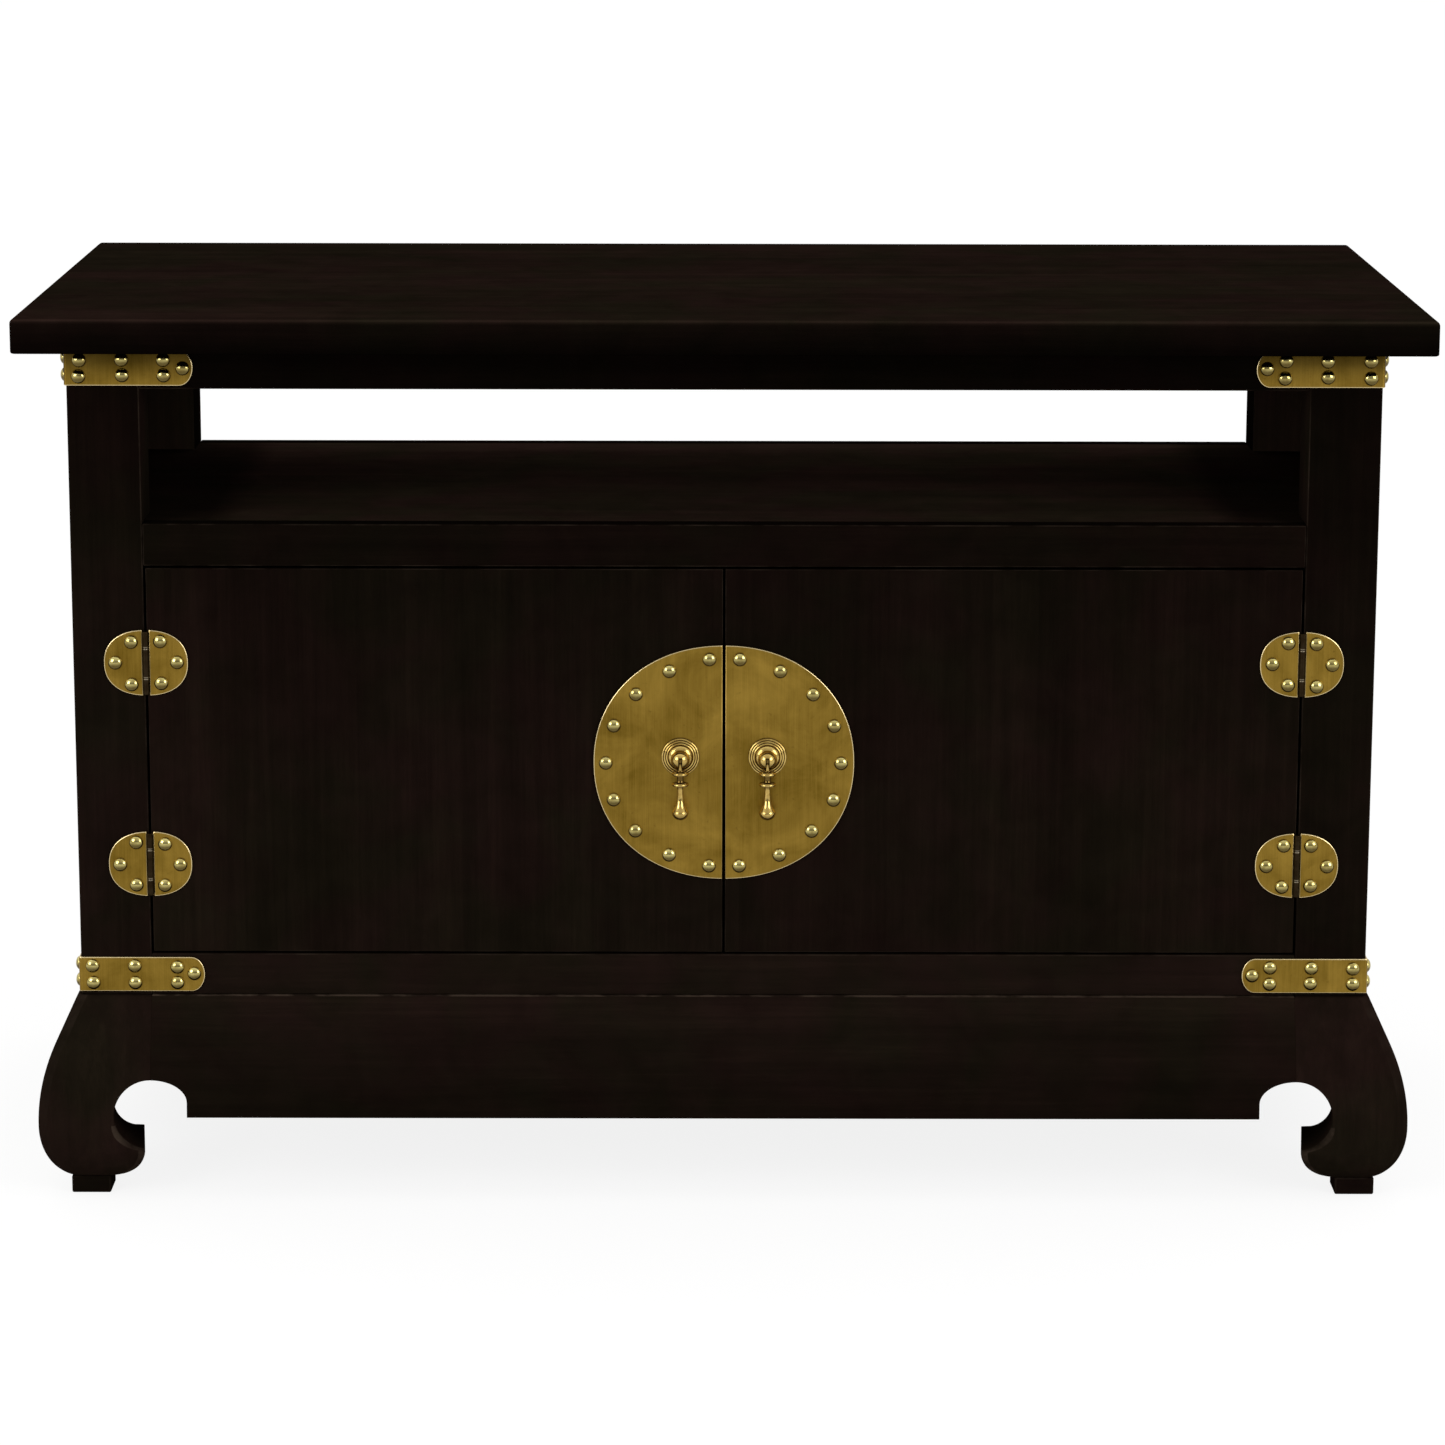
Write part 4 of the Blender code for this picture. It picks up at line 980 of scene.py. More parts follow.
class CABINET_OT_boards(PieceOperator, bpy.types.Operator):
    """The shelf and the side panels, and finishes for what keeps its CAD shape"""
    bl_idname = "cabinet.boards"
    bl_label = "Panels and boards"

    def shelf(self, wood, tone):
        """The shelf board, notched round the posts, its top lighter in the middle and at the back, a painted
        reflection.
        """
        low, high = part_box("shelf_board")
        x, y = -INNER - wood.fit, -POST_BACK - wood.fit
        corner = ((high.x, y), (x, y), (x, high.y))
        outline = [*corner, *[(-a, b) for a, b in reversed(corner)]]
        outline += [(-a, -b) for a, b in outline]
        form = loft([[(a, b, z) for a, b in outline] for z in (low.z, high.z)])
        split_at(form, 1, (-y, wood.shelf_knee, y))
        split_at(form, 0, (-wood.shelf_fade, -wood.shelf_even, wood.shelf_even, wood.shelf_fade))
        # Painted reflection of the pale background on the shelf's top, darker at its ends
        wear = ((-y, tone.shelf_front), (wood.shelf_knee, tone.shelf_mid), (y, tone.shelf_back))
        ends = ((wood.shelf_even, 1.0), (wood.shelf_fade, tone.shelf_ends))
        upper = looking(form.faces, (0.0, 0.0, 1.0))
        stained(form, lambda p: along(p.y, wear) * along(abs(p.x), ends) - 1.0, upper)
        settle(form, "board_shelf", "cabinet", dark_wood("X"), ["shelf_board"])

    def execute(self, context):
        wood, tone = sizes("wood"), sizes("stain_and_light")
        self.shelf(wood, tone)
        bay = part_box("shelf_rail_front")[1].z
        for side, sx in SIDES:
            node = "side_panel_" + side
            form = split_at(block(*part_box(node), wood.arris), 2, (bay,))
            # Painted light: the panels' faces inside the bay are lightened as a painted reflection of the
            # pale background
            inside = looking(form.faces, (sx, 0.0, 0.0))
            inside = [f for f in inside if f.calc_center_median().z > bay]
            stained(form, tone.bay_panel, inside)
            settle(form, "board_" + node, "cabinet", dark_wood("Z"), [node])
        dress(("back_panel",), dark_wood("Z"))
        dress(("cabinet_floor", "door_stop"), dark_wood("X"))
        pins = [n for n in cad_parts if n.startswith("hinge_") and n.endswith("_pin")]
        dress(pins, barrel_metal())
        dress(("pull_pin_left", "pull_pin_right"), pull_brass())
        return {"FINISHED"}


class CABINET_OT_legs(PieceOperator, bpy.types.Operator):
    """The four scroll legs on their pads"""
    bl_idname = "cabinet.legs"
    bl_label = "Legs and pads"

    def levels(self):
        """Heights where a leg gets a section, close ones taken once."""
        stand = sizes("stand")
        tip = toe_top()
        arc = [stand.scroll_z + stand.scroll_r * math.sin(math.radians(a)) for a in range(90, -80, -5)]
        toe = [tip - (tip - stand.pad_h) * math.sin(math.radians(a)) for a in range(0, 91, 6)]
        rise = [STAND_TOP - stand.ease * k for k in (0.0, 0.3, 1.0)]
        start = stand.scroll_z + stand.scroll_r
        steps = 14
        step = (STAND_TOP - 2 * stand.ease - start) / steps
        plain = [start + step * k for k in range(steps + 1)]
        least = 0.00005
        kept = []
        for z in sorted([*[z for z in arc if z >= tip], *toe, *rise, *plain]):
            if not kept or z - kept[-1] > least:
                kept.append(z)
        return kept

    def execute(self, context):
        stand, tone = sizes("stand"), sizes("stain_and_light")
        steps = 4
        toe_start = stand.scroll_z - 0.6 * stand.scroll_r
        rounding = ((toe_start, stand.toe_ease - stand.ease), (stand.scroll_z, 0.0))
        rings = []
        for z in self.levels():
            inner, outer = scroll_at(z), bulge_at(z)
            lip = STAND_TOP - z
            pinch = stand.ease * (1.0 - lip / stand.ease) ** 2 if lip < stand.ease else 0.0
            low, high = inner + pinch, outer - pinch
            below = min(1.0, max(0.0, (stand.scroll_z + stand.scroll_r - z) / stand.scroll_r))
            ramp_in = below * below * (3.0 - 2.0 * below)
            back = low + stand.slant * (outer - inner) * ramp_in
            edge = stand.joint + (stand.ease - stand.joint) * ramp_in
            toe = edge + along(z, rounding)
            corners = ((back, back), (high, low), (high, high), (low, high))
            ring = eased(corners, (edge, toe, stand.arris, toe), steps)
            rings.append([(LEFT - u, FRONT - v, z) for u, v in ring])
        per = steps + 1
        leg = stained(loft(rings), tone.leg)
        # The outer corner's rub, stronger towards the top, and the toe's edge rub are partly wear, partly a
        # painted highlight
        rub_and_sheen = (
            (stand.scroll_z, tone.leg_rub_low), (stand.scroll_z + 2 * stand.scroll_r, tone.leg_rub_mid),
            (STAND_TOP, tone.leg_rub_top),
        )
        corner = bands(leg, 4 * per, range(2 * per, 2 * per + steps))
        marked(leg, "arris", lambda p: along(p.z, rub_and_sheen), corner)
        toe_edge = stand.scroll_z - 0.3 * stand.scroll_r
        edges = bands(leg, 2 * per, range(per, per + steps))
        marked(leg, "arris", tone.toe_rub_and_sheen, [f for f in edges if f.calc_center_median().z < toe_edge])
        gap = sizes("wood").fit
        inner, outer = scroll_at(stand.pad_h) - gap, bulge_at(stand.pad_h) - gap
        low = (LEFT - outer, FRONT - outer, 0.0)
        high = (LEFT - inner, FRONT - inner, stand.pad_h - gap)
        pad = block(low, high, sizes("wood").pad_ease)
        for depth, sy in (("front", 1.0), ("back", -1.0)):
            for side, sx in SIDES:
                spot = f"{depth}_{side}"
                form, node = opposite(leg, sx, sy), "leg_" + spot
                settle(form, "scroll_" + node, "cabinet", dark_wood("Z"), [node], sharp=38.0)
                form, node = opposite(pad, sx, sy), "foot_pad_" + spot
                settle(form, "pad_" + spot, "cabinet", dark_wood("X"), [node])
        leg.free()
        pad.free()
        return {"FINISHED"}


class CABINET_OT_aprons(PieceOperator, bpy.types.Operator):
    """The bulging aprons, hollowed at both ends by the legs' scrolls"""
    bl_idname = "cabinet.aprons"
    bl_label = "Aprons"
    rows = 26

    def section(self, foot):
        """Points (out of the post's face, height) of the bent board, from its lower edge up."""
        stand = sizes("stand")
        ease = stand.ease
        outer = []
        for k in range(self.rows + 1):
            z = foot + ease + (STAND_TOP - foot - 2 * ease) * k / self.rows
            outer.append((bulge_at(z), z))
        low, high = outer[0][0], outer[-1][0]
        points = [(low - ease, foot), (low - ease * 0.3, foot + ease * 0.3), *outer]
        points += [(high - ease * 0.35, STAND_TOP - ease * 0.25), (high - ease * 1.1, STAND_TOP)]
        back = [(u - stand.apron_t, z) for u, z in reversed(outer)]
        return points + [(back[0][0], STAND_TOP), *back, (back[-1][0], foot)]

    def hollow(self, end, start, across):
        """A tool for an apron's end: round over the leg's scroll, then straight down."""
        stand = sizes("stand")
        middle = stand.scroll_z + stand.scroll_r - stand.hollow_h
        steps = 24
        arch = []
        for k in range(steps + 1):
            turn = math.pi * k / steps
            arch.append((end + stand.scroll_r * math.cos(turn), middle + stand.hollow_h * math.sin(turn)))
        low = stand.scroll_z - stand.scroll_r
        arch += [(end - stand.scroll_r, low), (end + stand.scroll_r, low)]
        reach = 2 * (stand.bulge + stand.apron_t)
        rings = []
        for deep in (start - reach, start + reach):
            rings.append([(a, deep, z) if across else (deep, a, z) for a, z in arch])
        return loft(rings)

    def board(self, half, start, across):
        """One apron, from leg to leg, hollowed at both ends."""
        stand, tone = sizes("stand"), sizes("stain_and_light")
        foot = stand.scroll_z + stand.scroll_r - stand.hollow_h - stand.hollow_drop
        section = self.section(foot)
        rings = []
        for end in (stand.joint - half, half - stand.joint):
            rings.append([(end, start - u, z) if across else (start - u, end, z) for u, z in section])
        # Painted shade: darker towards the apron's lower edge; the rub on its upper edge is partly wear,
        # partly a painted highlight
        shade = ((foot, tone.apron_low), (STAND_TOP, tone.apron_top))
        form = stained(loft(rings), lambda p: along(p.z, shade))
        upper = (self.rows + 3, self.rows + 4)
        marked(form, "arris", tone.apron_rub, bands(form, len(section), upper))
        return carve(form, [self.hollow(end, start, across) for end in (-half, half)], "DIFFERENCE")

    def execute(self, context):
        front = self.board(-INNER, FRONT, True)
        side = self.board(-POST_BACK, LEFT, False)
        rows = (
            ("front", front, 1.0, 1.0, "X"), ("back", front, 1.0, -1.0, "X"),
            ("left", side, 1.0, 1.0, "Y"), ("right", side, -1.0, 1.0, "Y"),
        )
        for word, form, sx, sy, grain in rows:
            node = "apron_" + word
            form = opposite(form, sx, sy)
            settle(form, "bent_" + node, "cabinet", dark_wood(grain), [node], sharp=32.0)
        front.free()
        side.free()
        return {"FINISHED"}


class CABINET_OT_doors(PieceOperator, bpy.types.Operator):
    """The two flat doors"""
    bl_idname = "cabinet.doors"
    bl_label = "Doors"

    def execute(self, context):
        tone = sizes("stain_and_light")
        for side, _ in SIDES:
            node = "door_" + side
            low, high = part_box(node)
            middle = (low.z + high.z) / 2
            # Painted shade: darker towards the door's top, under the slab
            shade = ((low.z, tone.door_low), (middle, 0.0), (high.z, tone.door_top))
            form = split_at(block(low, high, sizes("wood").door_ease), 2, (middle,))
            stained(form, lambda p: along(p.z, shade))
            settle(form, f"board_{node}", node, dark_wood("Z"), [node])
        return {"FINISHED"}


def oval_point(a, b, full, turn):
    """A point of an oval; a fullness of 2 makes it an ellipse."""
    across, up = math.cos(turn), math.sin(turn)
    reach = (abs(across) ** full + abs(up) ** full) ** (-1.0 / full)
    return a * reach * across, b * reach * up


def oval(a, b, full, cut, count):
    """A loop of an oval cut off straight: its tip first, up and over to the cut, and back below."""
    start = math.atan2((1.0 - (cut / a) ** full) ** (1.0 / full), cut / a)
    upper = [oval_point(a, b, full, start * k / count) for k in range(count + 1)]
    return upper + [(a, -h) for a, h in reversed(upper[1:])]


def rail_middle(row):
    """Height of the middle of a row's front rail, which the straps follow."""
    low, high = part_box(f"{row}_rail_front")
    return (low.z + high.z) / 2


class CABINET_OT_straps(PieceOperator, bpy.types.Operator):
    """The corner straps, bent round the front posts"""
    bl_idname = "cabinet.straps"
    bl_label = "Corner straps"

    def loop(self, brass, inset):
        """The strap laid flat: front tip first, over the top to the side tip, and back below."""
        half = brass.strap_h / 2 - inset
        end = brass.strap_end - inset
        straight = brass.strap_l - brass.strap_end
        steps = 14
        upper = []
        for k in range(steps + 1):
            turn = math.pi / 2 * k / steps
            upper.append((straight + end * math.cos(turn), half * math.sin(turn)))
        bends = 8
        for k in range(bends + 1):
            upper.append((brass.bend * (1.0 - 2.0 * k / bends), half))
        upper += [(-x, h) for x, h in reversed(upper[:steps + 1])]
        return upper + [(x, -h) for x, h in reversed(upper[1:-1])]

    def place(self, brass, middle):
        """Where a point of the flat strap lies on the bent one."""
        gap = sizes("wood").fit

        def put(x, h, out):
            reach = gap + out
            if abs(x) >= brass.bend:
                if x > 0.0:
                    return (LEFT + x - gap - brass.plate_t, FRONT - reach, middle + h)
                return (LEFT - reach, FRONT - x - gap - brass.plate_t, middle + h)
            turn = math.pi / 4 * (1.0 - x / brass.bend)
            radius = brass.bend - brass.plate_t + out
            centre = brass.bend - gap - brass.plate_t
            x, y = LEFT + centre - radius * math.sin(turn), FRONT + centre - radius * math.cos(turn)
            return (x, y, middle + h)
        return put

    def execute(self, context):
        brass, tone = sizes("brass"), sizes("stain_and_light")
        half, third = brass.strap_h / 2, brass.strap_h / 6
        # Painted shade of the slab on the top straps, darker towards their upper edge
        slab_shade = (
            (-half, tone.strap_low), (-third, tone.strap_lower), (third, tone.strap_upper),
            (half, tone.strap_top),
        )
        for row in ("top", "bottom"):
            middle = rail_middle(row)
            place = self.place(brass, middle)
            form = sheet_metal(lambda inset: self.loop(brass, inset), place, brass.plate_t, brass.chamfer)
            if row == "top":
                split_at(form, 2, (middle - third, middle + third))
                stained(form, lambda p: along(p.z - middle, slab_shade))
            for side, sx in SIDES:
                spot = f"{row}_{side}"
                strap = opposite(form, sx)
                settle(strap, "strap_" + spot, "cabinet", brushed_brass(), ["bracket_" + spot])
            form.free()
        return {"FINISHED"}


def hinge_axis():
    """The left hinges' axis and their heights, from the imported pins."""
    spots = []
    for word in ("lower", "upper"):
        low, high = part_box(f"hinge_{word}_left_pin")
        spots.append((word, (low + high) / 2))
    return spots


def skin():
    """The plane that plates lie on, a hair off the wood."""
    return FRONT - sizes("wood").fit


class CABINET_OT_hinges(PieceOperator, bpy.types.Operator):
    """The oval hinges: two leaves each, with their knuckles"""
    bl_idname = "cabinet.hinges"
    bl_label = "Hinges"

    def knuckle(self, brass, x, y, low, high, bared):
        """A length of barrel, bored for the pin, its ends eased and some of them worn bare."""
        r, ease = brass.barrel_r, brass.knuckle_gap
        end = [(brass.bore, 0.0), (r - ease, 0.0), (r - 0.3 * ease, 0.3 * ease)]
        end += [(r, k * ease) for k in (1, 2, 3)]
        profile = [(across, low + up) for across, up in end]
        profile += [(across, high - up) for across, up in reversed(end)]
        rows = []
        for first, worn in zip((1, len(end) + 1), bared):
            rows += range(first, first + 4) if worn else ()
        return turned(profile, Matrix.Translation((x, y, 0.0)), facets=28, bared=rows)

    def leaf(self, brass, spot, on_door):
        """One leaf of a left hinge."""
        hand = 1.0 if on_door else -1.0
        clear = brass.barrel_r + brass.knuckle_gap

        def loop(inset):
            a, b = brass.hinge_a - inset, brass.hinge_b - inset
            return oval(a, b, brass.hinge_full, clear + inset, count=26)

        def place(a, h, out):
            return (spot.x + hand * a, skin() - out, spot.z + h)

        plate = sheet_metal(loop, place, brass.plate_t, brass.chamfer, straight=0.35)
        inner, outer = brass.knuckle / 2, brass.barrel_l / 2
        past = inner + brass.knuckle_gap
        spans = [(-inner, inner)] if on_door else [(-outer, -past), (past, outer)]
        forms = []
        for low, high in spans:
            bared = (low > -outer, high < outer)
            low, high = spot.z + low, spot.z + high
            forms.append(self.knuckle(brass, spot.x, spot.y, low, high, bared))
            reach = (0.75 * brass.barrel_r, clear + brass.plate_t / 2)
            near, far = sorted(spot.x + hand * out for out in reach)
            thin = brass.plate_t / 6
            back, face = skin() - thin, skin() - brass.plate_t + thin
            forms.append(block((near, face, low + thin), (far, back, high - thin), thin))
        return plate, join(forms)

    def execute(self, context):
        brass = sizes("brass")
        for word, spot in hinge_axis():
            for kind in ("post", "door"):
                plate, barrel = self.leaf(brass, spot, kind == "door")
                for side, sx in SIDES:
                    end = f"{word}_{side}_{kind}"
                    node = f"hinge_{end}_leaf"
                    body = "cabinet" if kind == "post" else "door_" + side
                    form = opposite(plate, sx)
                    settle(form, "leaf_" + end, body, brushed_brass(), [node])
                    form = opposite(barrel, sx)
                    settle(form, "barrel_" + end, body, barrel_metal(), (), sharp=35.0)
                plate.free()
                barrel.free()
        return {"FINISHED"}


def face_middle():
    """Height of the face plate's middle."""
    low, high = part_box("face_plate_left")
    return (low.z + high.z) / 2


class CABINET_OT_face_plates(PieceOperator, bpy.types.Operator):
    """The oval face plate, one half on each door"""
    bl_idname = "cabinet.face_plates"
    bl_label = "Face plates"

    def execute(self, context):
        brass = sizes("brass")
        middle = face_middle()

        def loop(inset):
            a, b = brass.face_a - inset, brass.face_b - inset
            return oval(a, b, brass.face_full, brass.face_gap + inset, count=64)

        def place(a, h, out):
            return (-a, skin() - out, middle + h)

        form = sheet_metal(loop, place, brass.face_t, brass.chamfer, straight=0.1)
        for side, sx in SIDES:
            node = "face_plate_" + side
            settle(opposite(form, sx), "oval_" + node, "door_" + side, brushed_brass(), [node])
        form.free()
        return {"FINISHED"}


# Painted shade on a pull where it faces down, from the height of its normal
UNDERSIDE_SHADE = ((-0.55, 0.85), (0.0, 0.0))


class CABINET_OT_pulls(PieceOperator, bpy.types.Operator):
    """The ringed roses with their slotted balls, and the turned drops"""
    bl_idname = "cabinet.pulls"
    bl_label = "Drop pulls"

    def underside_shaded(self, form):
        """Paints shade on what faces down."""
        form.normal_update()
        layer = form.verts.layers.float["grime"]
        for vert in form.verts:
            vert[layer] = max(vert[layer], along(vert.normal.z, UNDERSIDE_SHADE))
        return form

    def rose(self, pull, centre):
        """A ringed rose with a slotted ball, in front of the face plate."""
        seat = -pull.out + sizes("wood").fit
        rim = pull.disc_r
        profile = [(0.0, seat), (rim - pull.ease, seat), (rim, seat + pull.ease), (rim, seat + pull.ring_h)]
        grooves = [1, 2]
        rounds, rows = 6, 16
        for k in range(pull.rings):
            middle = rim - (2 * k + 1) * pull.ring_w
            base = seat + pull.ring_h * (1.0 + pull.ring_step * k)
            for j in range(1, rounds + 1):
                turn = math.pi * j / rounds
                up = pull.ring_step * j / rounds + pull.ring_swell * math.sin(turn)
                profile.append((middle + pull.ring_w * math.cos(turn), base + pull.ring_h * up))
            grooves += [len(profile) - j for j in (1, 2, rounds)]
        profile += self.dome(pull, *profile[-1])
        grooves.append(len(profile) - 1)
        dip = math.acos(pull.neck_r / pull.ball_r)
        for k in range(rows):
            turn = (math.pi / 2 + dip) * k / rows - dip
            profile.append((pull.ball_r * math.cos(turn), pull.ball_r * math.sin(turn)))
        profile.append((0.0, pull.ball_r))
        forward = Matrix.Translation(centre) @ Matrix.Rotation(math.pi / 2, 4, "X")
        form = turned(profile, forward, facets=56, grooves=grooves)
        slot = pull.eye_t / 2 + pull.eye_gap
        gap = 2 * sizes("wood").fit
        room = pull.eye_r + gap
        big = 2 * pull.ball_r
        low = centre - Vector((slot, big, big))
        high = centre + Vector((slot, room, pull.eye_r / 2 + gap))
        form = carve(form, [block(low, high, pull.ease, steps=2)], "DIFFERENCE")
        return carve(form, [self.disc(centre, room, slot, facets=32)], "DIFFERENCE")

    def dome(self, pull, foot, height):
        """Points of the rose's dome, from the innermost ring to the crease at the neck."""
        steps = 8
        reach = (foot - pull.neck_r) / (math.sin(pull.dome_foot) - math.sin(pull.dome_head))
        points = []
        for k in range(1, steps + 1):
            turn = pull.dome_foot + (pull.dome_head - pull.dome_foot) * k / steps
            across = foot + reach * (math.sin(turn) - math.sin(pull.dome_foot))
            points.append((across, height + reach * (math.cos(turn) - math.cos(pull.dome_foot))))
        return [*points, (pull.neck_r - pull.crease, points[-1][1] + pull.ease)]

    def disc(self, centre, radius, half, facets, ease=0.0):
        """A flat disc across the cabinet, its edges eased."""
        profile = [(0.0, -half), (radius - ease, -half)]
        if ease:
            profile += [(radius, ease - half), (radius, half - ease)]
        profile += [(radius - ease, half), (0.0, half)]
        return turned(profile, Matrix.Translation(centre) @ Matrix.Rotation(math.pi / 2, 4, "Y"), facets)

    def drop(self, pull, centre):
        """A turned drop: two collars, a slim stem that swells to a bulb, and an eye on top."""
        top = pull.ball_r + pull.drop_gap
        bevel = pull.collar_bevel
        slope = 0.75 * bevel
        z = -top
        profile = [(0.0, z), (pull.waist_r - bevel, z), (pull.waist_r - 0.3 * bevel, z - 0.3 * bevel)]
        grooves = [0, 1, 2, 3]
        rounds, swells, ends = 6, 14, 9
        z -= bevel
        for after in (pull.waist_l, 0.0):
            profile += [(pull.waist_r, z), (pull.collar_r - bevel, z - slope)]
            half = pull.collar_t / 2
            middle = z - bevel - half
            for k in range(rounds + 1):
                turn = math.pi / 2 - math.pi * k / rounds
                across = pull.collar_r - bevel * (1.0 - math.cos(turn))
                profile.append((across, middle + half * math.sin(turn)))
            z -= 2 * bevel + pull.collar_t
            profile += [(pull.collar_r - bevel, z + slope), (pull.waist_r, z)]
            z -= after
            if after:
                slim = pull.waist_r * 0.86
                profile += [(slim, z + 0.75 * after), (slim, z + 0.25 * after)]
                grooves += range(len(profile) - 3, len(profile) + 1)
        for k in range(1, swells + 1):
            share = k / swells
            across = pull.stem_r + (pull.bulb_r - pull.stem_r) * share ** pull.stem_swell
            profile.append((across, z - pull.stem_l * share))
        z -= pull.stem_l
        for k in range(1, ends):
            turn = math.pi / 2 * k / ends
            profile.append((pull.bulb_r * math.cos(turn), z - pull.bulb_l * math.sin(turn)))
        profile.append((0.0, z - pull.bulb_l))
        grooves += [k for k, (radius, _) in enumerate(profile) if radius == pull.waist_r]
        form = turned(profile, Matrix.Translation(centre), facets=48, grooves=grooves)
        flat, wide = pull.eye_t / 2, pull.eye_r / 2
        shank = 0.9 * flat
        low = centre - Vector((shank, wide, top + bevel / 2))
        high = centre + Vector((shank, wide, -wide))
        form = carve(form, [block(low, high, pull.ease, steps=2)], "UNION")
        form = carve(form, [self.disc(centre, pull.eye_r, flat, facets=40, ease=pull.eye_ease)], "UNION")
        return carve(form, [self.disc(centre, pull.pin_r, 2 * flat, facets=24)], "DIFFERENCE")

    def execute(self, context):
        pull = sizes("pull")
        low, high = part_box("pull_pin_left")
        centre = (low + high) / 2
        rose = self.underside_shaded(self.rose(pull, centre))
        drop = self.underside_shaded(self.drop(pull, centre))
        brass = pull_brass()
        for side, sx in SIDES:
            rows = ((rose, "ringed_", "pull_rose_", "door_"), (drop, "turned_", "pull_drop_", "drop_"))
            for form, made, node, body in rows:
                form, node = opposite(form, sx), node + side
                settle(form, made + node, body + side, brass, [node], sharp=42.0)
        rose.free()
        drop.free()
        return {"FINISHED"}


class CABINET_OT_nails(PieceOperator, bpy.types.Operator):
    """The domed nail heads of all plates, one mesh for each body"""
    bl_idname = "cabinet.nails"
    bl_label = "Nail heads"

    def grime_and_shade_stored(self, group, geometry, level):
        """Stores how much grime and painted shade each point holds."""
        feeds = {"Geometry": geometry, "Name": "grime", "Value": level}
        kind = "GeometryNodeStoreNamedAttribute"
        return add(group, kind, feeds, data_type="FLOAT", domain="POINT").outputs[0]

    def tree(self, surface):
        """Geometry Nodes: a dome on every point, turned to face the way that the point says."""
        group = bpy.data.node_groups.new("domed_nails", "GeometryNodeTree")
        face = group.interface
        face.new_socket("Geometry", in_out="INPUT", socket_type="NodeSocketGeometry")
        for name in ("Radius", "Height", "Sink", "Stray"):
            face.new_socket(name, in_out="INPUT", socket_type="NodeSocketFloat")
        for name in ("Sides", "Rings", "Seed"):
            face.new_socket(name, in_out="INPUT", socket_type="NodeSocketInt")
        face.new_socket("Geometry", in_out="OUTPUT", socket_type="NodeSocketGeometry")
        enter = add(group, "NodeGroupInput").outputs
        ball = add(group, "GeometryNodeMeshUVSphere", {
            "Segments": enter["Sides"], "Rings": enter["Rings"], "Radius": 1.0,
        }).outputs["Mesh"]
        place = add(group, "GeometryNodeInputPosition").outputs[0]
        parts = add(group, "ShaderNodeSeparateXYZ", {0: place}).outputs
        x = math_node(group, "MULTIPLY", parts[0], enter["Radius"])
        y = math_node(group, "MULTIPLY", parts[1], enter["Radius"])
        z = math_node(group, "MULTIPLY", parts[2], enter["Height"])
        floor = math_node(group, "MULTIPLY", enter["Sink"], -1.0)
        z = math_node(group, "MAXIMUM", z, floor)
        dome = add(group, "ShaderNodeCombineXYZ", {0: x, 1: y, 2: z}).outputs[0]
        head = add(group, "GeometryNodeSetPosition", {"Geometry": ball, "Position": dome}).outputs[0]
        # A dark ring at each head's foot: partly patina in the crevice, partly a painted contact shadow
        foot = math_node(group, "DIVIDE", parts[2], enter["Height"])
        head = self.grime_and_shade_stored(group, head, spread(group, foot, (0.0, 0.16), (0.55, 0.0)))
        facing = add(group, "GeometryNodeInputNamedAttribute", {"Name": "facing"}, data_type="FLOAT_VECTOR")
        way = facing.outputs["Attribute"]
        turn = add(group, "FunctionNodeAlignRotationToVector", {"Vector": way}, axis="Z")
        chance = add(group, "FunctionNodeRandomValue", {
            0: (-1.0, -1.0, -1.0), 1: (1.0, 1.0, 1.0), "Seed": enter["Seed"],
        }, data_type="FLOAT_VECTOR").outputs[0]
        out = vector_node(group, "PROJECT", chance, way)
        stray = scaled(group, vector_node(group, "SUBTRACT", chance, out), enter["Stray"])
        feeds = {"Geometry": enter["Geometry"], "Offset": stray}
        marks = add(group, "GeometryNodeSetPosition", feeds).outputs[0]
        heads = add(group, "GeometryNodeInstanceOnPoints", {
            "Points": marks, "Instance": head, "Rotation": turn.outputs[0],
        }).outputs[0]
        real = add(group, "GeometryNodeRealizeInstances", {"Geometry": heads}).outputs[0]
        # Painted shade: the lower half of each head is darkened
        normal = add(group, "GeometryNodeInputNormal").outputs[0]
        upward = add(group, "ShaderNodeSeparateXYZ", {0: normal}).outputs[2]
        under = spread(group, upward, (0.18, -0.24), (0.0, 1.0))
        ringed = add(group, "GeometryNodeInputNamedAttribute", {"Name": "grime"}, data_type="FLOAT")
        real = self.grime_and_shade_stored(group, real, math_node(group, "MAXIMUM", ringed.outputs[0], under))
        round_off = add(group, "GeometryNodeSetShadeSmooth", {"Geometry": real}).outputs[0]
        done = add(group, "GeometryNodeSetMaterial", {"Geometry": round_off, "Material": surface}).outputs[0]
        add(group, "NodeGroupOutput", {"Geometry": done})
        return group

    def strap_nails(self, brass):
        """Nails of the four corner straps, on both arms."""
        first, last = brass.nail_edge, brass.strap_l - brass.nail_end
        spots = [(x, h) for x in (first, (first + last) / 2, last) for h in (-brass.nail_row, brass.nail_row)]
        spots.append((brass.strap_l - brass.nail_inset, 0.0))
        out = sizes("wood").fit + brass.plate_t
        nails = []
        for row in ("top", "bottom"):
            middle = rail_middle(row)
            for _, sx in SIDES:
                for x, h in spots:
                    nails.append(((sx * (LEFT + x), FRONT - out, middle + h), (0.0, -1.0, 0.0)))
                    nails.append(((sx * (LEFT - out), FRONT + x, middle + h), (-sx, 0.0, 0.0)))
        return nails

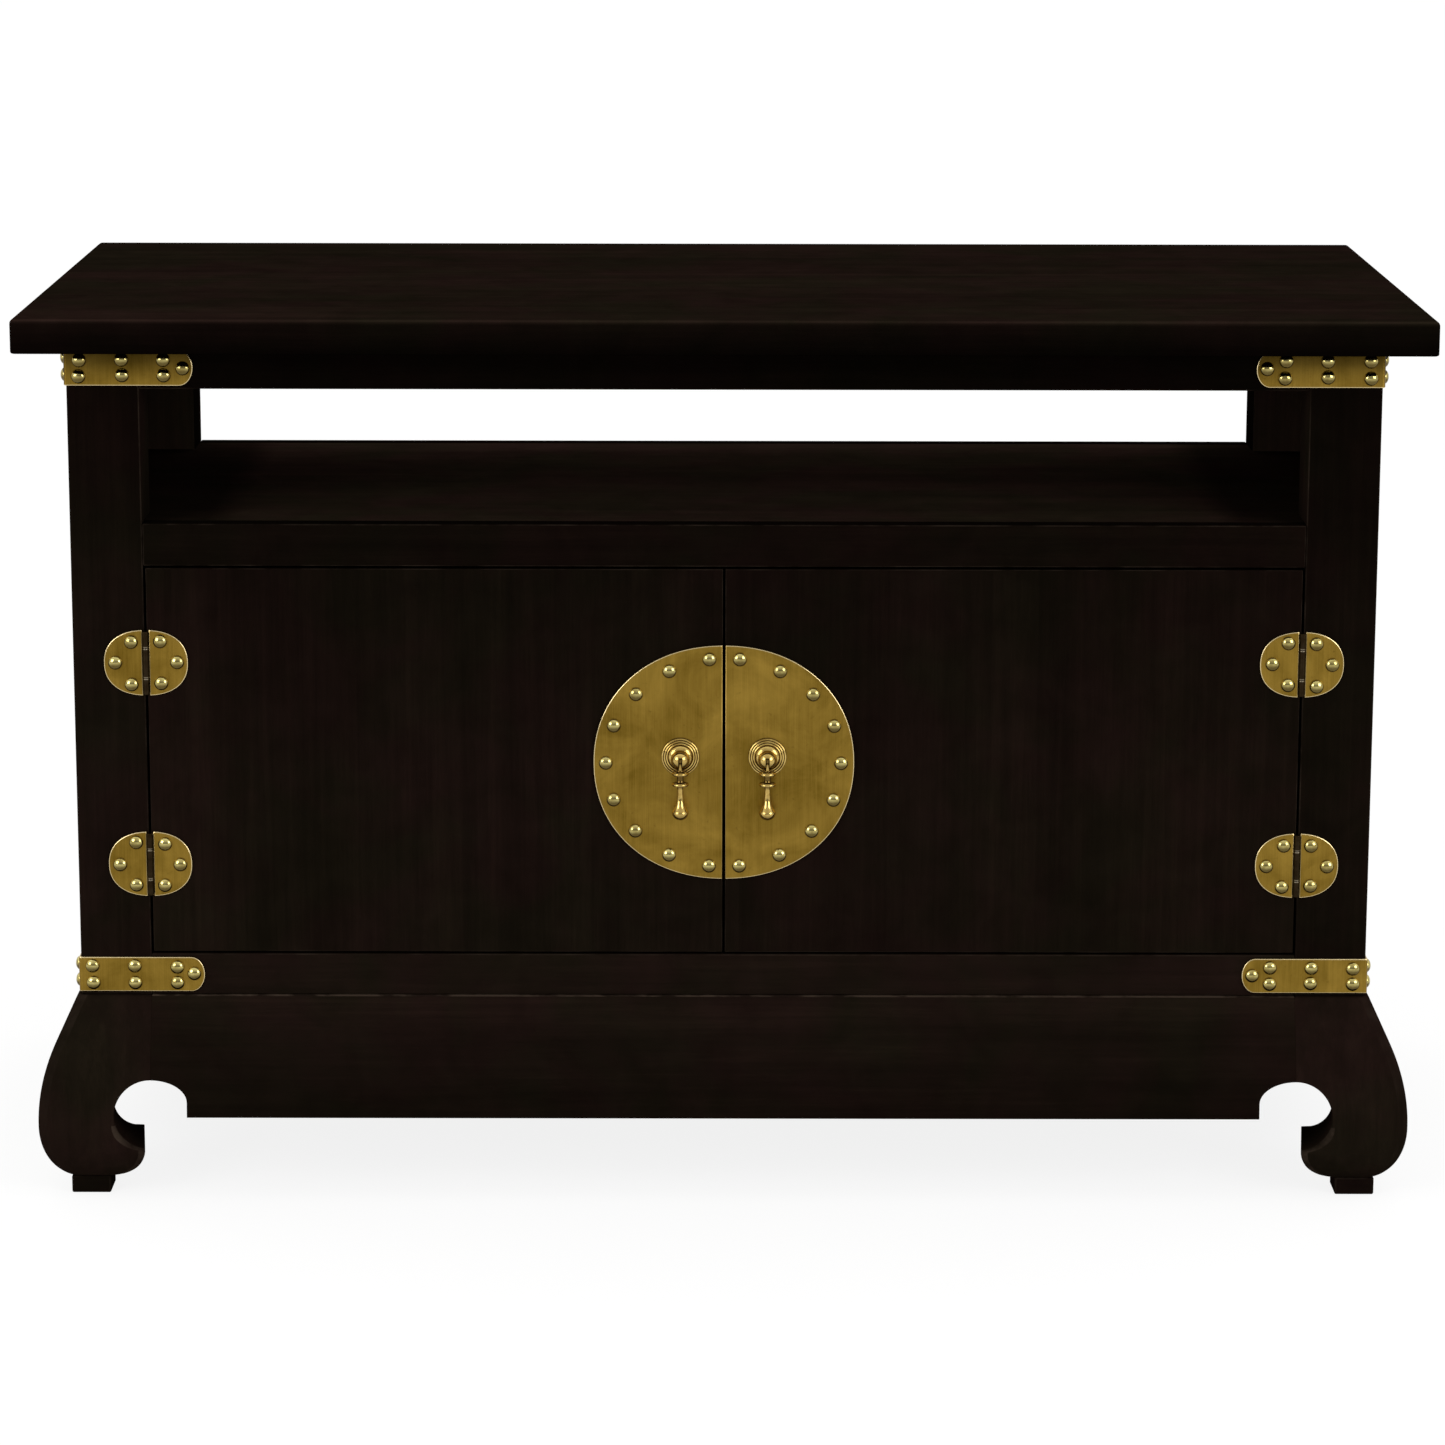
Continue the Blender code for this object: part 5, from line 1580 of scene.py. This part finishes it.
    def leaf_nails(self, brass, sx, hand):
        """Nails of one side's hinge leaves, on the post or on the door."""
        a, b = brass.hinge_nail_x, brass.hinge_nail_z
        nails = []
        for _, spot in hinge_axis():
            for turn in (-brass.hinge_spread, 0.0, brass.hinge_spread):
                x, z = spot.x + hand * a * math.cos(turn), spot.z + b * math.sin(turn)
                nails.append(((sx * x, skin() - brass.plate_t, z), (0.0, -1.0, 0.0)))
        return nails

    def face_nails(self, brass, sx):
        """Nails round one half of the face plate."""
        a, b = brass.face_a - brass.nail_inset, brass.face_b - brass.nail_inset
        middle = face_middle()
        nails = []
        for k in range(brass.face_nails):
            turn = brass.face_spread * (2.0 * k / (brass.face_nails - 1) - 1.0)
            x, z = -a * math.cos(turn), middle + b * math.sin(turn)
            nails.append(((sx * x, skin() - brass.face_t, z), (0.0, -1.0, 0.0)))
        return nails

    def execute(self, context):
        brass = sizes("brass")
        group = self.tree(nail_brass())
        keys = {item.name: item.identifier for item in group.interface.items_tree if item.in_out == "INPUT"}
        settings = {
            "Radius": brass.nail_r, "Height": brass.nail_h, "Sink": brass.nail_sink,
            "Stray": brass.nail_stray, "Sides": 20, "Rings": 14, "Seed": 7,
        }
        fixed = self.strap_nails(brass)
        for _, sx in SIDES:
            fixed += self.leaf_nails(brass, sx, -1.0)
        rows = [("cabinet", fixed)]
        for side, sx in SIDES:
            rows.append(("door_" + side, self.leaf_nails(brass, sx, 1.0) + self.face_nails(brass, sx)))
        for body, nails in rows:
            points = bpy.data.meshes.new("nail_points")
            points.from_pydata([place for place, _ in nails], [], [])
            facing = points.attributes.new("facing", "FLOAT_VECTOR", "POINT")
            for i, (_, way) in enumerate(nails):
                facing.data[i].vector = way
            carrier = bpy.data.objects.new("nail_points", points)
            change = carrier.modifiers.new("domes", "NODES")
            change.node_group = group
            for name, value in settings.items():
                change[keys[name]] = value
            context.scene.collection.objects.link(carrier)
            graph = context.evaluated_depsgraph_get()
            mesh = bpy.data.meshes.new_from_object(carrier.evaluated_get(graph))
            carrier.modifiers.clear()
            bpy.data.objects.remove(carrier)
            if len(mesh.polygons) < len(nails):
                raise RuntimeError("the nail heads of " + body + " were not made")
            mesh.name = "nail_heads_" + body
            place_piece(mesh, "nail_heads_" + body, body)
        return {"FINISHED"}


class CABINET_OT_stage(bpy.types.Operator):
    """Pale floor, soft studio light and the camera"""
    bl_idname = "cabinet.stage"
    bl_label = "Stage"

    def floor(self, studio):
        """A round pale floor, wide enough to fill the view."""
        form = bmesh.new()
        bmesh.ops.create_circle(form, cap_ends=True, radius=studio.floor_r, segments=96)
        mesh = bpy.data.meshes.new("studio_floor")
        form.to_mesh(mesh)
        form.free()
        mesh.materials.append(floor_paint())
        thing = bpy.data.objects.new("studio_floor", mesh)
        bpy.context.scene.collection.objects.link(thing)

    def sky(self, studio):
        """A soft ceiling that fades towards the horizon, and pale walls at the sides and behind."""
        world = bpy.data.worlds.new("studio")
        bpy.context.scene.world = world
        world.use_nodes = True
        tree = world.node_tree
        shade = next(n for n in tree.nodes if n.type == "BACKGROUND")
        way = add(tree, "ShaderNodeTexCoord").outputs["Generated"]
        parts = add(tree, "ShaderNodeSeparateXYZ", {0: way}).outputs
        level = studio.horizon
        lifts = (
            ("Z", studio.ceiling_low, studio.ceiling_high, studio.zenith),
            ("Y", studio.walls_from, 0.0, studio.walls),
        )
        for part, low, high, most in lifts:
            lift = spread(tree, parts[part], (low, high), (0.0, most), interpolation_type="SMOOTHSTEP")
            level = math_node(tree, "ADD", lift, level)
        tree.links.new(level, shade.inputs["Strength"])
        shade.inputs["Color"].default_value = opaque(studio.air)

    def softboxes(self, studio):
        """Two square softboxes, high on either side in front."""
        x, y, z = studio.softbox_at
        for word, place in (("left", (-x, y, z)), ("right", (x, y, z))):
            lamp = bpy.data.lights.new("softbox_" + word, "AREA")
            lamp.shape = "SQUARE"
            lamp.size = studio.softbox
            lamp.energy = studio.power
            thing = bpy.data.objects.new("softbox_" + word, lamp)
            thing.location = place
            aim = studio.aim - Vector(place)
            thing.rotation_euler = aim.to_track_quat("-Z", "Y").to_euler()
            bpy.context.scene.collection.objects.link(thing)

    def camera(self, studio):
        """The camera at the photograph's viewing angle."""
        lens = bpy.data.cameras.new("camera")
        lens.sensor_width = studio.sensor
        lens.lens = studio.lens
        lens.clip_end = studio.far
        thing = bpy.data.objects.new("camera", lens)
        turn = Matrix.Rotation(-studio.yaw, 4, "Z") @ Matrix.Rotation(math.pi / 2 - studio.pitch, 4, "X")
        thing.matrix_world = Matrix.Translation(studio.camera) @ turn @ Matrix.Rotation(studio.roll, 4, "Z")
        bpy.context.scene.collection.objects.link(thing)
        bpy.context.scene.camera = thing

    def execute(self, context):
        studio = sizes("stage")
        context.scene.view_settings.view_transform = "Standard"
        self.floor(studio)
        self.sky(studio)
        self.softboxes(studio)
        self.camera(studio)
        return {"FINISHED"}


GROUPS = (
    ("wood", CabinetWood), ("stain_and_light", CabinetStainAndLight), ("stand", CabinetStand), ("brass", CabinetBrass),
    ("pull", CabinetPull), ("finish", CabinetFinish), ("stage", CabinetStage),
)
OPERATORS = (
    CABINET_OT_stage, CABINET_OT_slab, CABINET_OT_posts, CABINET_OT_rails, CABINET_OT_boards, CABINET_OT_legs,
    CABINET_OT_aprons, CABINET_OT_doors, CABINET_OT_straps, CABINET_OT_hinges, CABINET_OT_face_plates,
    CABINET_OT_pulls, CABINET_OT_nails,
)


class CABINET_PT_panel(bpy.types.Panel):
    """Sizes and finishes of the cabinet, and the steps that dress it"""
    bl_idname = "CABINET_PT_panel"
    bl_label = "Television cabinet"
    bl_space_type = "VIEW_3D"
    bl_region_type = "UI"
    bl_category = "Cabinet"

    def draw(self, context):
        for kind in OPERATORS:
            self.layout.operator(kind.bl_idname)
        for name, kind in GROUPS:
            box = self.layout.box()
            box.label(text=name.capitalize())
            for key in kind.__annotations__:
                box.prop(sizes(name), key)


def register():
    """Makes the settings, the operators and the panel known."""
    for name, kind in GROUPS:
        bpy.utils.register_class(kind)
        setattr(bpy.types.Scene, "cabinet_" + name, PointerProperty(type=kind))
    for kind in (*OPERATORS, CABINET_PT_panel):
        bpy.utils.register_class(kind)


def unregister():
    """Takes them away again."""
    for kind in (CABINET_PT_panel, *reversed(OPERATORS)):
        bpy.utils.unregister_class(kind)
    for name, kind in reversed(GROUPS):
        delattr(bpy.types.Scene, "cabinet_" + name)
        bpy.utils.unregister_class(kind)


def main():
    """Dresses the cabinet."""
    register()
    for kind in OPERATORS:
        word = kind.bl_idname.split(".")[1]
        getattr(bpy.ops.cabinet, word)()


if __name__ == "__main__":
    main()
